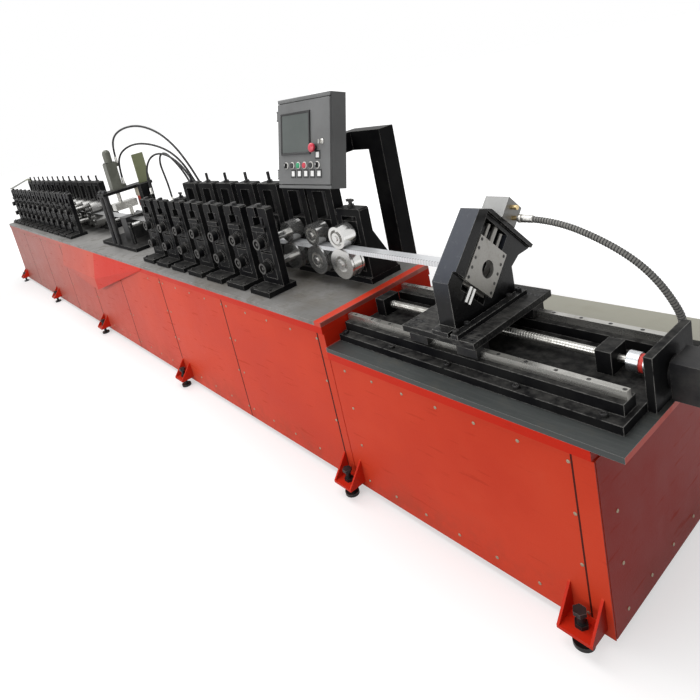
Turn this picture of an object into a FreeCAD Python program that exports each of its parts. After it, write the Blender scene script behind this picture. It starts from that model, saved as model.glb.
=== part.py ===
import FreeCAD, Part
import math
import os
import re
import Sketcher
from FreeCAD import Placement, Rotation, Vector

# Roll forming machine: a long forming base that carries the roll stations and a punch
# unit, and a lower cutting base with a flying cutter that a ball screw drives.
#
# X runs along the line towards the exit, Y from the operator's side to the far side and
# Z up. The origin is on the floor, under the levelling foot at the joint of the bases.

SIZES = {
    # Bases: outer faces of their panels, tops of their plates
    "foot_out": 45, "ground_gap": 30, "forming_length": 6880, "forming_width": 690,
    "forming_height": 800, "cutting_length": 1126, "cutting_width": 813,
    "cutting_height": 684, "cutting_over": 87, "plate_thick": 20, "skin": 4,
    "seam": 4, "flange_drop": 34, "flange_out": 6, "joint_strip": 46,
    "corner_strip": 64,
    # Levelling feet
    "foot_plate": 110, "foot_plate_thick": 12, "foot_plate_rise": 58,
    "gusset_rise": 100, "gusset_thick": 8, "jack_radius": 12, "jack_top": 130,
    "pad_radius": 32, "pad_thick": 14, "first_foot": 80, "last_foot": 76,
    "joint_foot": 100,
    # Side chute
    "chute_left": -4150, "chute_right": -3130, "chute_tip": -2040, "chute_out": 60,
    "chute_lip": 586, "chute_low": 483, "chute_wall": 4,
    # Roll stations
    "pitch": 243, "entry_inset": 114, "entry_last": -3850, "finish_first": -2017,
    "exit_one": -350,
    "exit_two": -165, "pass_rise": 203, "upper_radius": 55, "lower_radius": 75,
    "roll_width": 76, "flat_roll_width": 112, "flange_width": 11, "flange_step": 8,
    "shaft_radius": 20, "fit": 0.3, "journal_out": 14, "nut_radius": 27,
    "nut_out": 10, "recess": 14, "recess_radius": 40, "hub_radius": 32,
    "hub_out": 14,
    "slot_gap": 1.2, "cover_length": 170, "cover_ahead": 104,
    # Roll housings, measured from the line's middle and the top of the forming base
    "near_reach": 190, "near_thick": 42, "near_height": 440, "near_width": 178,
    "far_reach": 60, "far_thick": 60, "far_height": 490, "far_width": 190,
    "last_width": 165, "last_height": 370, "sole_thick": 30, "sole_side": 8,
    "near_sole_front": 96, "near_sole_back": 36, "far_sole_front": 10,
    "far_sole_back": 128, "window_width": 100, "window_low": 60, "bridge": 37,
    "near_bridge": 52, "slot_width": 32, "block_gap": 10, "lower_block": 136,
    "upper_block": 104, "near_block": 135, "rib_thick": 22, "rib_rise": 250,
    "lug_width": 108, "lug_out": 15, "lug_height": 26, "flange_radius": 38,
    "cover_flange": 9, "cover_radius": 29, "cover_out": 46, "cup_radius": 20,
    "cup_depth": 9, "cap_radius": 8, "cap_out": 6, "screw_radius": 9,
    "near_screw_rise": 16, "far_screw_rise": 62, "last_screw_rise": 40,
    "nut_reach": 17, "nut_thick": 14, "bar_length": 44, "bar_thick": 12,
    # Formed strip
    "strip_thick": 1.5, "strip_width": 52, "strip_leg": 20, "flat_width": 92,
    "strip_end": 568, "strip_form": -2200, "strip_lead": 20,
    # Punch unit
    "punch_x": -2870, "punch_bed_length": 800, "punch_bed_width": 410,
    "punch_bed_thick": 30, "column_radius": 20, "column_x": 50, "column_y": 195,
    "head_length": 150, "head_width": 440, "head_thick": 25, "head_rise": 445,
    "cylinder_y": -70, "cylinder_side": 86, "cylinder_height": 225,
    "dome_radius": 33, "dome_height": 112, "rod_radius": 16, "ram_length": 96,
    "ram_width": 190, "ram_height": 60, "ram_rise": 300, "punch_radius": 9,
    "punch_stroke": 22, "die_length": 130, "die_width": 190, "die_gap": 7,
    "stripper_thick": 14, "stripper_rise": 12, "roller_radius": 20,
    "roller_length": 240, "roller_reach": 230, "bearing_side": 56,
    "bearing_thick": 20, "end_block_y": 80, "end_block_x": 71, "end_block_width": 100,
    "end_block_drop": 150,
    # Hoses of the punch and of the cutter, and the blocks that they end in
    "hose_radius": 8, "guarded_radius": 13, "elbow_out": 36, "manifold_left": -2190,
    "manifold_length": 290, "manifold_near": 258, "manifold_width": 80,
    "manifold_height": 130, "valve_post_x": -2577, "valve_post_side": 50,
    "valve_post_rise": 260,
    # Control panel, its post and arm
    "post_side": 100, "post_x": -335, "post_out": 85, "post_low": 450,
    "post_top": 1500, "arm_start": -520, "tie_height": 80, "tie_low": 50,
    "tie_high": 230, "panel_x": -528, "panel_ahead": 30, "panel_z": 1326,
    "panel_width": 408, "panel_height": 435, "panel_depth": 81, "panel_lean": 15,
    "panel_wall": 4, "bracket_in": 20, "bracket_width": 70, "door_thick": 12,
    "door_gap": 1, "door_low": 20, "door_high": 413, "door_edge": 4,
    "hinge_out": 5, "hinge_reach": 7, "hinge_pin": 2, "knuckle_radius": 5,
    "knuckle_length": 34, "hinge_low": 51, "hinge_high": 340, "lug_thick": 8,
    "screen_left": 37, "screen_low": 165, "screen_width": 226, "screen_height": 197,
    "screen_thick": 4, "button_radius": 11, "button_out": 8, "knob_radius": 10,
    "knob_out": 16, "row_left": 72, "row_step": 49, "row_rise": 110, "lock_x": 350,
    "lock_rise": 216, "stop_x": 298, "stop_rise": 190, "stop_radius": 22,
    "stop_out": 30,
    # Slide bed, rails and ball screw, measured from the cutting base's near face and top
    "bed_start": 8, "bed_over": 50, "fitting_inset": 35, "fitting_reach": 227,
    "fitting_rise": 20, "bed_width": 540, "bed_thick": 30,
    "rail_near": 190, "rail_far": 155, "beam_width": 70, "beam_height": 38,
    "rail_width": 24, "rail_height": 28, "rail_inset": 16, "screw_rise": 41,
    "thread_radius": 16,
    "journal_radius": 12, "support_length": 50, "support_width": 96,
    "support_height": 79, "support_left": 30, "support_inset": 180,
    "coupling_radius": 33, "coupling_half": 34, "spider_thick": 14,
    "coupling_inset": 98,
    "motor_plate_thick": 24, "motor_plate_width": 260, "motor_plate_rise": 174,
    "motor_side": 120, "motor_length": 190, "motor_boss": 12,
    # Carriage, and the cutter with its blade tilted by 45 degrees
    "carriage_x": 380, "carriage_length": 320, "carriage_near": 245,
    "carriage_width": 478, "carriage_thick": 25, "carriage_gap": 25,
    "slider_length": 84, "slider_width": 70, "slider_grip": 20, "nut_length": 90,
    "nut_width": 80, "cutter_sole": 18, "cutter_sole_length": 112,
    "cutter_sole_width": 420, "cutter_sole_near": 250, "frame_x": 530, "frame_thick": 82, "front_step": 12,
    "pocket_depth": 42, "pocket_width": 150, "pocket_low": 118, "pocket_high": 165,
    "pocket_shift": 12, "blade_gap": 5, "blade_side": 6, "blade_low": 93,
    "blade_high": 100, "blade_stroke": 20, "bore_radius": 34, "frame_bore": 40,
    "die_side": 176, "die_thick": 15, "die_low": 83, "pin_radius": 7,
    "pin_spacing": 42, "pin_length": 60, "pin_low": 150, "cutter_rod_radius": 10,
    "cylinder_seat": 201, "cutter_body": 92, "cutter_body_length": 84,
    "cutter_body_x": 515, "cutter_body_thick": 100, "cutter_body_side": 69,
    "port_radius": 9, "port_length": 26, "port_shift": 15, "port_seat": 242,
}

doc = FreeCAD.newDocument("RollFormingMachine")
sheet = doc.addObject("Spreadsheet::Sheet", "Sizes")
for row, (alias, value) in enumerate(SIZES.items(), start=1):
    sheet.set("A%d" % row, alias)
    sheet.set("B%d" % row, str(value))
    sheet.setAlias("B%d" % row, alias)
doc.recompute()


def formula(text):
    """A formula on the aliases, written as an expression of the document."""
    return re.sub(r"[a-z_]+", lambda m: "Sizes." + m.group() if m.group() in SIZES
                  else m.group(), text)


def size(text):
    """The value of a formula on the aliases."""
    return float(sheet.evalExpression(formula(text)))


def named(kind, name):
    item = doc.addObject(kind, name)
    item.Label = name
    return item


def bind(item, formulas):
    for path, text in formulas.items():
        item.setExpression(path, formula(text))
    return item


def place(item, x="0", y="0", z="0"):
    return bind(item, {"Placement.Base.x": x, "Placement.Base.y": y,
                       "Placement.Base.z": z})


# Part primitives and booleans

TURN = {"x": Rotation(Vector(0, 1, 0), 90), "y": Rotation(Vector(1, 0, 0), -90),
        "z": Rotation()}


def box(name, corner, span):
    item = named("Part::Box", name)
    bind(item, dict(zip(("Length", "Width", "Height"), span)))
    return place(item, *corner)


def cylinder(name, start, radius, length, along="z"):
    item = named("Part::Cylinder", name)
    bind(item, {"Radius": radius, "Height": length})
    item.Placement.Rotation = TURN[along]
    return place(item, *start)


def fuse(name, *parts):
    item = named("Part::MultiFuse", name)
    item.Shapes = list(parts)
    return item


def cut(name, base, *tools):
    item = named("Part::Cut", name)
    item.Base = base
    item.Tool = tools[0] if len(tools) == 1 else fuse(name + "_tools", *tools)
    return item


def compound(name, *parts):
    item = named("Part::Compound", name)
    item.Links = list(parts)
    return item


def copies(name, source, places):
    """One node of like solids: the source's shape at each place."""
    doc.recompute()
    shapes = []
    for where in places:
        shape = source.Shape.copy()
        shape.Placement = where.multiply(source.Shape.Placement)
        shapes.append(shape)
    item = named("Part::Feature", name)
    item.Shape = Part.makeCompound(shapes)
    return item


def gather(name, *parts):
    """One node of the solids of several parts that don't touch."""
    doc.recompute()
    item = named("Part::Feature", name)
    item.Shape = Part.makeCompound([s for part in parts for s in part.Shape.Solids])
    return item


# PartDesign bodies

def plane(body, role):
    return next(f for f in body.Origin.OriginFeatures if f.Role == role)


def sketch(body, name, role, lift="0"):
    item = body.newObject("Sketcher::SketchObject", body.Name + "_" + name)
    item.AttachmentSupport = [(plane(body, role), "")]
    item.MapMode = "FlatFace"
    item.setExpression("AttachmentOffset.Base.z", formula(lift))
    return item


def drive(item, kind, first, second, text):
    """A distance from the sketch's origin, or a radius, bound to a formula."""
    if kind == "Radius":
        index = item.addConstraint(Sketcher.Constraint(kind, first, abs(size(text))))
    else:
        index = item.addConstraint(Sketcher.Constraint(kind, -1, 1, first, second,
                                                       size(text)))
    item.setExpression("Constraints[%d]" % index, formula(text))


def polygon(item, points):
    """A closed outline whose corners are formulas on the aliases."""
    spots = [Vector(size(u), size(v), 0) for u, v in points]
    start = item.GeometryCount
    for index, spot in enumerate(spots):
        after = spots[(index + 1) % len(spots)]
        item.addGeometry(Part.LineSegment(spot, after), False)
    for index, (u, v) in enumerate(points):
        line = start + index
        ahead = start + (index + 1) % len(points)
        item.addConstraint(Sketcher.Constraint("Coincident", line, 2, ahead, 1))
        drive(item, "DistanceX", line, 1, u)
        drive(item, "DistanceY", line, 1, v)
    return item


def rectangle(item, low, high):
    return polygon(item, [low, (high[0], low[1]), high, (low[0], high[1])])


def circle(item, centre, radius):
    spot = Vector(size(centre[0]), size(centre[1]), 0)
    index = item.addGeometry(Part.Circle(spot, Vector(0, 0, 1), size(radius)), False)
    drive(item, "DistanceX", index, 3, centre[0])
    drive(item, "DistanceY", index, 3, centre[1])
    drive(item, "Radius", index, 3, radius)
    return item


def pad(body, profile, length, back=False, both=False):
    item = body.newObject("PartDesign::Pad", profile.Name + "_pad")
    item.Profile = profile
    item.Reversed = back
    item.Midplane = both
    return bind(item, {"Length": length})


def pocket(body, profile, depth="", back=False):
    item = body.newObject("PartDesign::Pocket", profile.Name + "_pocket")
    item.Profile = profile
    item.Reversed = back
    if depth:
        bind(item, {"Length": depth})
    else:
        item.Type = "ThroughAll"
        item.Midplane = True
    return item


def revolution(body, profile, axis="H_Axis"):
    item = body.newObject("PartDesign::Revolution", profile.Name + "_turn")
    item.Profile = profile
    item.ReferenceAxis = (profile, [axis])
    item.Angle = 360
    return item


# Places that several sub-parts share

FORMING_TOP = "ground_gap + forming_height"
CUTTING_TOP = "ground_gap + cutting_height"
FORMING_FAR = "foot_out + forming_width"
CUTTING_FAR = "foot_out + cutting_width"
CENTRE = "(foot_out + forming_width / 2)"
PASS_Z = "(ground_gap + forming_height + pass_rise)"

ENTRY_ROOM = size("(forming_length - entry_inset + entry_last) / pitch")
ENTRY_X = [size("entry_last - %d * pitch" % n)
           for n in reversed(range(int(ENTRY_ROOM + 1.001)))]
FINISH_X = [size("finish_first + %d * pitch" % n) for n in range(7)]
EXIT_X = [size("exit_one"), size("exit_two")]


def spots(xs, y, z):
    return [Placement(Vector(x, size(y), size(z)), Rotation()) for x in xs]


# Bases: welded cabinets with a flange strip under the edge of each top plate, and sheet
# panels between narrow seams on the sides and ends.

def cabinet(name, start, length, width, top):
    core = box(name + "_core", (start, "foot_out + skin", "ground_gap"),
               (length, width + " - 2 * skin", top + " - ground_gap - plate_thick"))
    strip = box(name + "_flange",
                (start, "foot_out - flange_out", top + " - plate_thick - flange_drop"),
                (length, width + " + 2 * flange_out", "flange_drop"))
    return fuse(name, core, strip)


def panel_row(name, start, length, count, width, top):
    """Near and far panels in a row, one seam apart."""
    step = "((%s + seam) / %d)" % (length, count)
    first = box(name + "_first", (start, "foot_out", "ground_gap"),
                (step + " - seam", "skin", top + " - plate_thick - flange_drop"
                 " - ground_gap - seam"))
    shifts = [Placement(Vector(n * size(step), y, 0), Rotation())
              for n in range(count) for y in (0, size(width + " - skin"))]
    return copies(name, first, shifts)


forming_base = cabinet("forming_base", "-forming_length", "forming_length",
                       "forming_width", FORMING_TOP)
forming_panels = panel_row("forming_panels", "-forming_length",
                           "forming_length - joint_strip - seam", 8,
                           "forming_width", FORMING_TOP)
joint_panel = panel_row("joint_panels", "-joint_strip", "joint_strip", 1,
                        "forming_width", FORMING_TOP)
forming_top = box("forming_top", ("-forming_length", "foot_out - flange_out",
                                  FORMING_TOP + " - plate_thick"),
                  ("forming_length", "forming_width + 2 * flange_out",
                   "plate_thick"))

cutting_base = cabinet("cutting_base", "0", "cutting_length - skin", "cutting_width",
                       CUTTING_TOP)
cutting_panels = panel_row("cutting_panels", "seam",
                           "cutting_length - corner_strip - 2 * seam", 1,
                           "cutting_width", CUTTING_TOP)
corner_panels = panel_row("corner_panels", "cutting_length - corner_strip",
                          "corner_strip", 1, "cutting_width", CUTTING_TOP)
cutting_end = box("cutting_end_panel",
                  ("cutting_length - skin", "foot_out + skin + seam", "ground_gap"),
                  ("skin", "cutting_width - 2 * skin - 2 * seam",
                   CUTTING_TOP + " - plate_thick - flange_drop - ground_gap - seam"))
cutting_top = box("cutting_top", ("0", "foot_out - flange_out",
                                  CUTTING_TOP + " - plate_thick"),
                  ("cutting_length + cutting_over",
                   "cutting_width + 2 * flange_out", "plate_thick"))

# Levelling feet: a gusseted bracket on the side of the base, and a jack bolt through its
# plate with a round pad on the floor.

bracket = named("PartDesign::Body", "foot_bracket")
plate_sketch = sketch(bracket, "plate", "XY_Plane", "foot_plate_rise")
rectangle(plate_sketch, ("-foot_plate / 2", "-foot_out"), ("foot_plate / 2", "foot_out"))
pad(bracket, plate_sketch, "foot_plate_thick")
hole_sketch = sketch(bracket, "hole", "XY_Plane", "foot_plate_rise")
circle(hole_sketch, ("0", "0"), "jack_radius + fit")
pocket(bracket, hole_sketch)
for side in (-1, 1):
    outer = "%d * foot_plate / 2" % side
    lift = "%d * (foot_plate / 2 - gusset_thick / 2)" % side
    gusset = sketch(bracket, "gusset" + ("a" if side < 0 else "b"), "YZ_Plane", lift)
    polygon(gusset, [("-foot_out", "foot_plate_rise + foot_plate_thick"),
                     ("foot_out", "foot_plate_rise + foot_plate_thick"),
                     ("foot_out", "foot_plate_rise + foot_plate_thick + gusset_rise")])
    pad(bracket, gusset, "gusset_thick", both=True)

jack = named("PartDesign::Body", "jack_bolt")
shank_sketch = sketch(jack, "shank", "XZ_Plane")
polygon(shank_sketch, [("0", "0"), ("pad_radius", "0"), ("pad_radius", "pad_thick"),
                       ("jack_radius", "pad_thick"), ("jack_radius", "jack_top"),
                       ("0", "jack_top")])
revolution(jack, shank_sketch, "V_Axis")
for index, low in enumerate(("foot_plate_rise - nut_thick",
                             "foot_plate_rise + foot_plate_thick",
                             "jack_top - nut_thick")):
    head = sketch(jack, "nut%d" % index, "XY_Plane", low)
    polygon(head, [("nut_reach * %.4f * 1.25" % math.cos(math.radians(60 * n)),
                    "nut_reach * %.4f * 1.25" % math.sin(math.radians(60 * n)))
                   for n in range(6)])
    pad(jack, head, "nut_thick")

FOOT_X = [size("-(forming_length - first_foot) * %d / 4" % n) for n in (4, 3, 2, 1)]
LAST_FOOT = size("cutting_length - last_foot")
near_feet = [Placement(Vector(x, 0, 0), Rotation()) for x in FOOT_X + [0, LAST_FOOT]]
turned = Rotation(Vector(0, 0, 1), 180)
far_feet = [Placement(Vector(x, size(FORMING_FAR + " + foot_out"), 0), turned)
            for x in FOOT_X + [-size("joint_foot")]]
far_feet.append(Placement(Vector(LAST_FOOT, size(CUTTING_FAR + " + foot_out"), 0),
                          turned))
foot_brackets = copies("foot_brackets", bracket, near_feet + far_feet)
jack_bolts = copies("jack_bolts", jack, near_feet + far_feet)

# Side chute: a hood on the near side whose front slopes out towards its open foot, with
# a hipped end that runs back to the table's edge.

def chute_loft(inset):
    """The hood's outline at its left end, at its corner and at the tip of the hip."""
    back = size("foot_out - flange_out") + 4 * inset
    out = size("foot_out - chute_out") + inset
    top = size(FORMING_TOP + " - plate_thick") - 2 * inset
    lip = size("chute_lip")
    low = size("chute_low") - inset
    tip = top - 16 + inset
    rings = [[(back, top), (out, lip), (out, lip - 8 - inset), (back, lip - 8 - inset)],
             [(back, top), (out, lip), (out, low), (back, low)],
             [(back, top), (back - 3, top - 8), (back - 3, tip), (back, tip)]]
    places = [size("chute_left") + inset, size("chute_right"),
              size("chute_tip") - 12 * inset]
    wires = [Part.makePolygon([Vector(x, y, z) for y, z in ring + ring[:1]])
             for x, ring in zip(places, rings)]
    return Part.makeLoft(wires[:2], True, True).fuse(Part.makeLoft(wires[1:], True, True))


side_chute = named("Part::Feature", "side_chute")
under_edge = Part.makeBox(size("forming_length"), size("chute_out"),
                          size("forming_height / 2"),
                          Vector(-size("forming_length"), size("foot_out - flange_out"),
                                 size("chute_low") - 20))
side_chute.Shape = chute_loft(0).cut(chute_loft(size("chute_wall"))).cut(under_edge)

# Roll housings: a slotted upright on a sole plate. The near ones are thinner and lower.

def housing(name, width, thick, height, front, back, ribs, bridge):
    body = named("PartDesign::Body", name)
    upright = sketch(body, "upright", "XZ_Plane")
    half = "%s / 2" % width
    polygon(upright, [("-" + half, "0"), (half, "0"),
                      (half, height + " - sole_side"),
                      (half + " - sole_side", height),
                      ("-" + half + " + sole_side", height),
                      ("-" + half, height + " - sole_side")])
    pad(body, upright, thick, back=True)
    sole = sketch(body, "sole", "XY_Plane")
    rectangle(sole, ("-" + half + " - fit", "-" + front),
              (half + " + fit", thick + " + " + back))
    pad(body, sole, "sole_thick")
    for side in ((-1, 1) if ribs else ()):
        rib = sketch(body, "rib" + ("a" if side < 0 else "b"), "YZ_Plane",
                     "%d * (%s - rib_thick / 2)" % (side, half))
        polygon(rib, [(thick, "sole_thick"), (thick + " + " + back + " - 8", "sole_thick"),
                      (thick, "rib_rise")])
        pad(body, rib, "rib_thick", both=True)
    window = sketch(body, "window", "XZ_Plane")
    rectangle(window, ("-window_width / 2", "window_low"),
              ("window_width / 2", "%s - %s" % (height, bridge)))
    pocket(body, window)
    if ribs:
        hole = sketch(body, "screw_hole", "XY_Plane", height)
        circle(hole, ("0", thick + " / 2"), "screw_radius")
        pocket(body, hole, bridge + " + 1")
    else:
        slot = sketch(body, "screw_slot", "XZ_Plane")
        rectangle(slot, ("-slot_width / 2", "%s - %s - 1" % (height, bridge)),
                  ("slot_width / 2", height + " + 1"))
        pocket(body, slot)
    return body


NEAR_Y = CENTRE + " - near_reach"
FAR_Y = CENTRE + " + far_reach"
near_upright = housing("near_upright", "near_width", "near_thick", "near_height",
                       "near_sole_front", "near_sole_back", False, "near_bridge")
far_upright = housing("far_upright", "far_width", "far_thick", "far_height",
                      "far_sole_front", "far_sole_back", True, "bridge")
last_upright = housing("last_upright", "last_width", "far_thick", "last_height",
                       "far_sole_front", "far_sole_back", True, "bridge")
entry_near = copies("entry_housings_near", near_upright,
                    spots(ENTRY_X[:-1], NEAR_Y, FORMING_TOP))
entry_far = copies("entry_housings_far", far_upright, spots(ENTRY_X, FAR_Y, FORMING_TOP))
LOW_X = FINISH_X[:1] + EXIT_X[1:]
TALL_X = FINISH_X[1:] + EXIT_X[:1]
finish_near = copies("finish_housings_near", near_upright,
                     spots(FINISH_X, NEAR_Y, FORMING_TOP))
finish_far = copies("finish_housings_far", far_upright,
                    spots(TALL_X, FAR_Y, FORMING_TOP))
low_housings = copies("low_housings", last_upright, spots(LOW_X, FAR_Y, FORMING_TOP))

# Bearing blocks in the windows, and the screws that press the upper ones down. On the
# near side they have flanged covers with a cupped end, and a lug across the upper block.

LOW_BLOCK = FORMING_TOP + " + window_low"
HIGH_BLOCK = LOW_BLOCK + " + lower_block + block_gap"
LOW_SHAFT = FORMING_TOP + " + pass_rise - lower_radius"
HIGH_SHAFT = FORMING_TOP + " + pass_rise + upper_radius"


def block_pair(name, y, thick, covers):
    low = box(name + "_low", ("-window_width / 2 + fit", y, LOW_BLOCK),
              ("window_width - 2 * fit", thick, "lower_block"))
    high = box(name + "_high", ("-window_width / 2 + fit", y, HIGH_BLOCK),
               ("window_width - 2 * fit", thick,
                "near_block" if covers else "upper_block"))
    if not covers:
        return compound(name, low, high)
    lug = box(name + "_lug", ("-lug_width / 2", y + " - lug_out",
                              HIGH_BLOCK + " + near_block - lug_height"),
              ("lug_width", "lug_out", "lug_height"))
    halves = []
    for block, shaft, extra in ((low, LOW_SHAFT, []), (high, HIGH_SHAFT, [lug])):
        part = block.Name
        flange = cylinder(part + "_flange", ("0", y + " - cover_flange", shaft),
                          "flange_radius", "cover_flange", along="y")
        stub = cylinder(part + "_stub", ("0", y + " - cover_out", shaft),
                        "cover_radius", "cover_out", along="y")
        cup = cylinder(part + "_cup", ("0", y + " - cover_out - 1", shaft),
                       "cup_radius", "cup_depth + 1", along="y")
        cap = cylinder(part + "_cap", ("0", y + " - cover_out + cup_depth - cap_out",
                                       shaft), "cap_radius", "cap_out + 1", along="y")
        halves.append(fuse(part + "_covered", block, flange, *extra,
                           cut(part + "_cupped", stub, cup), cap))
    return compound(name, *halves)


def bored_pair(name, x, y, thick, blind=False):
    """Bearing blocks whose shafts turn: bored through, or from the back only."""
    pair = block_pair(name + "_blocks", y, thick, blind)
    pair.Placement.Base = Vector(x, 0, 0)
    start = y + " + 4" if blind else y + " - 1"
    bores = []
    for side, shaft in (("a", LOW_SHAFT), ("b", HIGH_SHAFT)):
        bores.append(cylinder(name + "_bore_" + side, (str(x), start, shaft),
                              "shaft_radius + fit", thick + " + 2", along="y"))
    return cut(name, pair, *bores)


near_pair = block_pair("near_pair", NEAR_Y, "near_thick", True)
far_pair = block_pair("far_pair", FAR_Y, "far_thick", False)
blocks_near = copies("bearing_blocks_near", near_pair,
                     spots(ENTRY_X[:-1] + FINISH_X[:-1], "0", "0"))
blocks_far = copies("bearing_blocks_far", far_pair,
                    spots(ENTRY_X[:-1] + FINISH_X[:-1], "0", "0"))
LIVE_X = ENTRY_X[-1:] + FINISH_X[-1:] + EXIT_X
live = [bored_pair("live_far_%d" % index, x, FAR_Y, "far_thick")
        for index, x in enumerate(LIVE_X)]
live.append(bored_pair("live_near", FINISH_X[-1], NEAR_Y, "near_thick", True))
bored_blocks = compound("bored_blocks", *live)


def screw(name, height, rise, block="upper_block", bar=False):
    body = named("PartDesign::Body", name)
    rod = sketch(body, "rod", "XY_Plane", "%s + %s" % (HIGH_BLOCK, block))
    circle(rod, ("0", "0"), "screw_radius")
    top = "(%s + %s)" % (FORMING_TOP, height)
    pad(body, rod, "%s + %s - (%s + %s)" % (top, rise, HIGH_BLOCK, block))
    nut = sketch(body, "nut", "XY_Plane", top)
    polygon(nut, [("nut_reach * %.4f" % math.cos(math.radians(60 * n)),
                   "nut_reach * %.4f" % math.sin(math.radians(60 * n)))
                  for n in range(6)])
    pad(body, nut, "nut_thick")
    if bar:
        head = sketch(body, "bar", "XY_Plane", "%s + %s - bar_thick" % (top, rise))
        rectangle(head, ("-bar_length / 2", "-bar_thick / 2"),
                  ("bar_length / 2", "bar_thick / 2"))
        pad(body, head, "bar_thick")
    return body


near_screw = screw("near_screw", "near_height", "near_screw_rise", "near_block")
far_screw = screw("far_screw", "far_height", "far_screw_rise")
last_screw = screw("last_screw", "last_height", "last_screw_rise", bar=True)
screws_near = copies("adjusting_screws_near", near_screw,
                     spots(ENTRY_X[:-1] + FINISH_X, NEAR_Y + " + near_thick / 2", "0"))
screws_far = copies("adjusting_screws_far", far_screw,
                    spots(ENTRY_X + TALL_X, FAR_Y + " + far_thick / 2", "0"))
screws_low = copies("adjusting_screws_low", last_screw,
                    spots(LOW_X, FAR_Y + " + far_thick / 2", "0"))

# Rolls: profiles turned about their shafts. The lower ones have two slots for the legs
# of the strip. Those with an end that shows turn in their blocks.

NEAR_FACE = "(near_thick - near_reach)"
FAR_FACE = "far_reach"
FAR_BACK = "(far_reach + far_thick)"


def roll(name, outline):
    """A body turned about Y from its outline, pairs of place and radius."""
    body = named("PartDesign::Body", name)
    profile = sketch(body, "profile", "YZ_Plane")
    polygon(profile, [(outline[0][0], "0")] + outline + [(outline[-1][0], "0")])
    revolution(body, profile)
    return body


def plain_roll(name, radius, width):
    return roll(name, [(NEAR_FACE, "shaft_radius"), ("-%s / 2" % width, "shaft_radius"),
                       ("-%s / 2" % width, radius), ("%s / 2" % width, radius),
                       ("%s / 2" % width, "shaft_radius"), (FAR_FACE, "shaft_radius")])


CORE = "lower_radius - strip_thick - fit"
TIP = "(strip_width / 2 - strip_thick - slot_gap)"
SLOT = "(strip_width / 2 + slot_gap)"
upper_plain = plain_roll("upper_plain", "upper_radius - fit", "flat_roll_width")
lower_plain = plain_roll("lower_plain", CORE, "flat_roll_width")
upper_formed = plain_roll("upper_formed", "upper_radius - fit", "roll_width")
lower_formed = plain_roll("lower_formed", "lower_radius - strip_leg - 2 * slot_gap",
                          "roll_width")
uppers = spots(ENTRY_X[:-1], CENTRE, HIGH_SHAFT)
lowers = spots(ENTRY_X[:-1], CENTRE, LOW_SHAFT)
entry_upper = copies("entry_rolls_upper", upper_plain, uppers)
entry_lower = copies("entry_rolls_lower", lower_plain, lowers)
finish_upper = copies("finish_rolls_upper", upper_formed,
                      spots(FINISH_X[:-1], CENTRE, HIGH_SHAFT))
finish_lower = copies("finish_rolls_lower", lower_formed,
                      spots(FINISH_X[:-1], CENTRE, LOW_SHAFT))


def live_roll(name, x, shaft, rim, width, slots, near_end=None):
    """A turning roll: its near end has a nut in a recess, or runs on to the near block."""
    half = "%s / 2" % width
    outline = []
    if near_end:
        outline += [(near_end, "shaft_radius"), ("-" + half, "shaft_radius"),
                    ("-" + half, rim)]
    else:
        outline += [("-" + half + " - nut_out", "nut_radius * 0.5"),
                    ("-" + half + " - 4", "nut_radius * 0.5"),
                    ("-" + half + " - 4", "nut_radius"),
                    ("-" + half + " + recess", "nut_radius"),
                    ("-" + half + " + recess", "recess_radius"),
                    ("-" + half, "recess_radius"), ("-" + half, rim)]
    if slots:
        root = "lower_radius - strip_leg - 2 * slot_gap"
        for sign in (-1, 1):
            sides = [(SLOT, rim), (SLOT, root), (TIP, root), (TIP, CORE)]
            sides = [("%d * %s" % (sign, reach), r) for reach, r in sides]
            outline += sides if sign < 0 else sides[::-1]
    hub = half + (" + hub_out" if slots or near_end or width == "roll_width" else " + 2")
    outline += [(half, rim), (half, "hub_radius"), (hub, "hub_radius"),
                (hub, "shaft_radius"),
                (FAR_BACK + " + journal_out", "shaft_radius")]
    body = roll(name, outline)
    return place(body, str(x), CENTRE, shaft)


rolls = []
for tag, x in zip(("entry", "finish", "exit_a", "exit_b"), LIVE_X):
    wide = "flat_roll_width" if tag == "entry" else "roll_width"
    near = NEAR_FACE + " - near_thick + 6" if tag == "finish" else None
    rolls.append(live_roll("roll_upper_" + tag, x, HIGH_SHAFT, "upper_radius - fit",
                           wide, False, near))
    lower_rim = CORE if tag == "entry" else "lower_radius - 2 * fit"
    rolls.append(live_roll("roll_lower_" + tag, x, LOW_SHAFT, lower_rim, wide,
                           tag != "entry", near))

# Cover over the entry, folded from sheet and resting on the first housings.

cover = named("PartDesign::Body", "entry_cover")
fold = sketch(cover, "fold", "YZ_Plane", "%s - cover_ahead" % ENTRY_X[0])
top_z = FORMING_TOP + " + near_height"
high_z = FORMING_TOP + " + far_height + 40"
leg_y = FAR_Y + " + far_thick / 2"
polygon(fold, [(NEAR_Y + " - 5", top_z + " + near_screw_rise + 4"),
               (NEAR_Y + " - 5", top_z + " + near_screw_rise"),
               (leg_y + " - 24", high_z), (leg_y + " - 24", FORMING_TOP + " + far_height"),
               (leg_y + " - 20", FORMING_TOP + " + far_height"),
               (leg_y + " - 20", high_z + " + 4")])
pad(cover, fold, "cover_length")

# Strip: flat until it is formed, then a channel that opens downwards.

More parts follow.
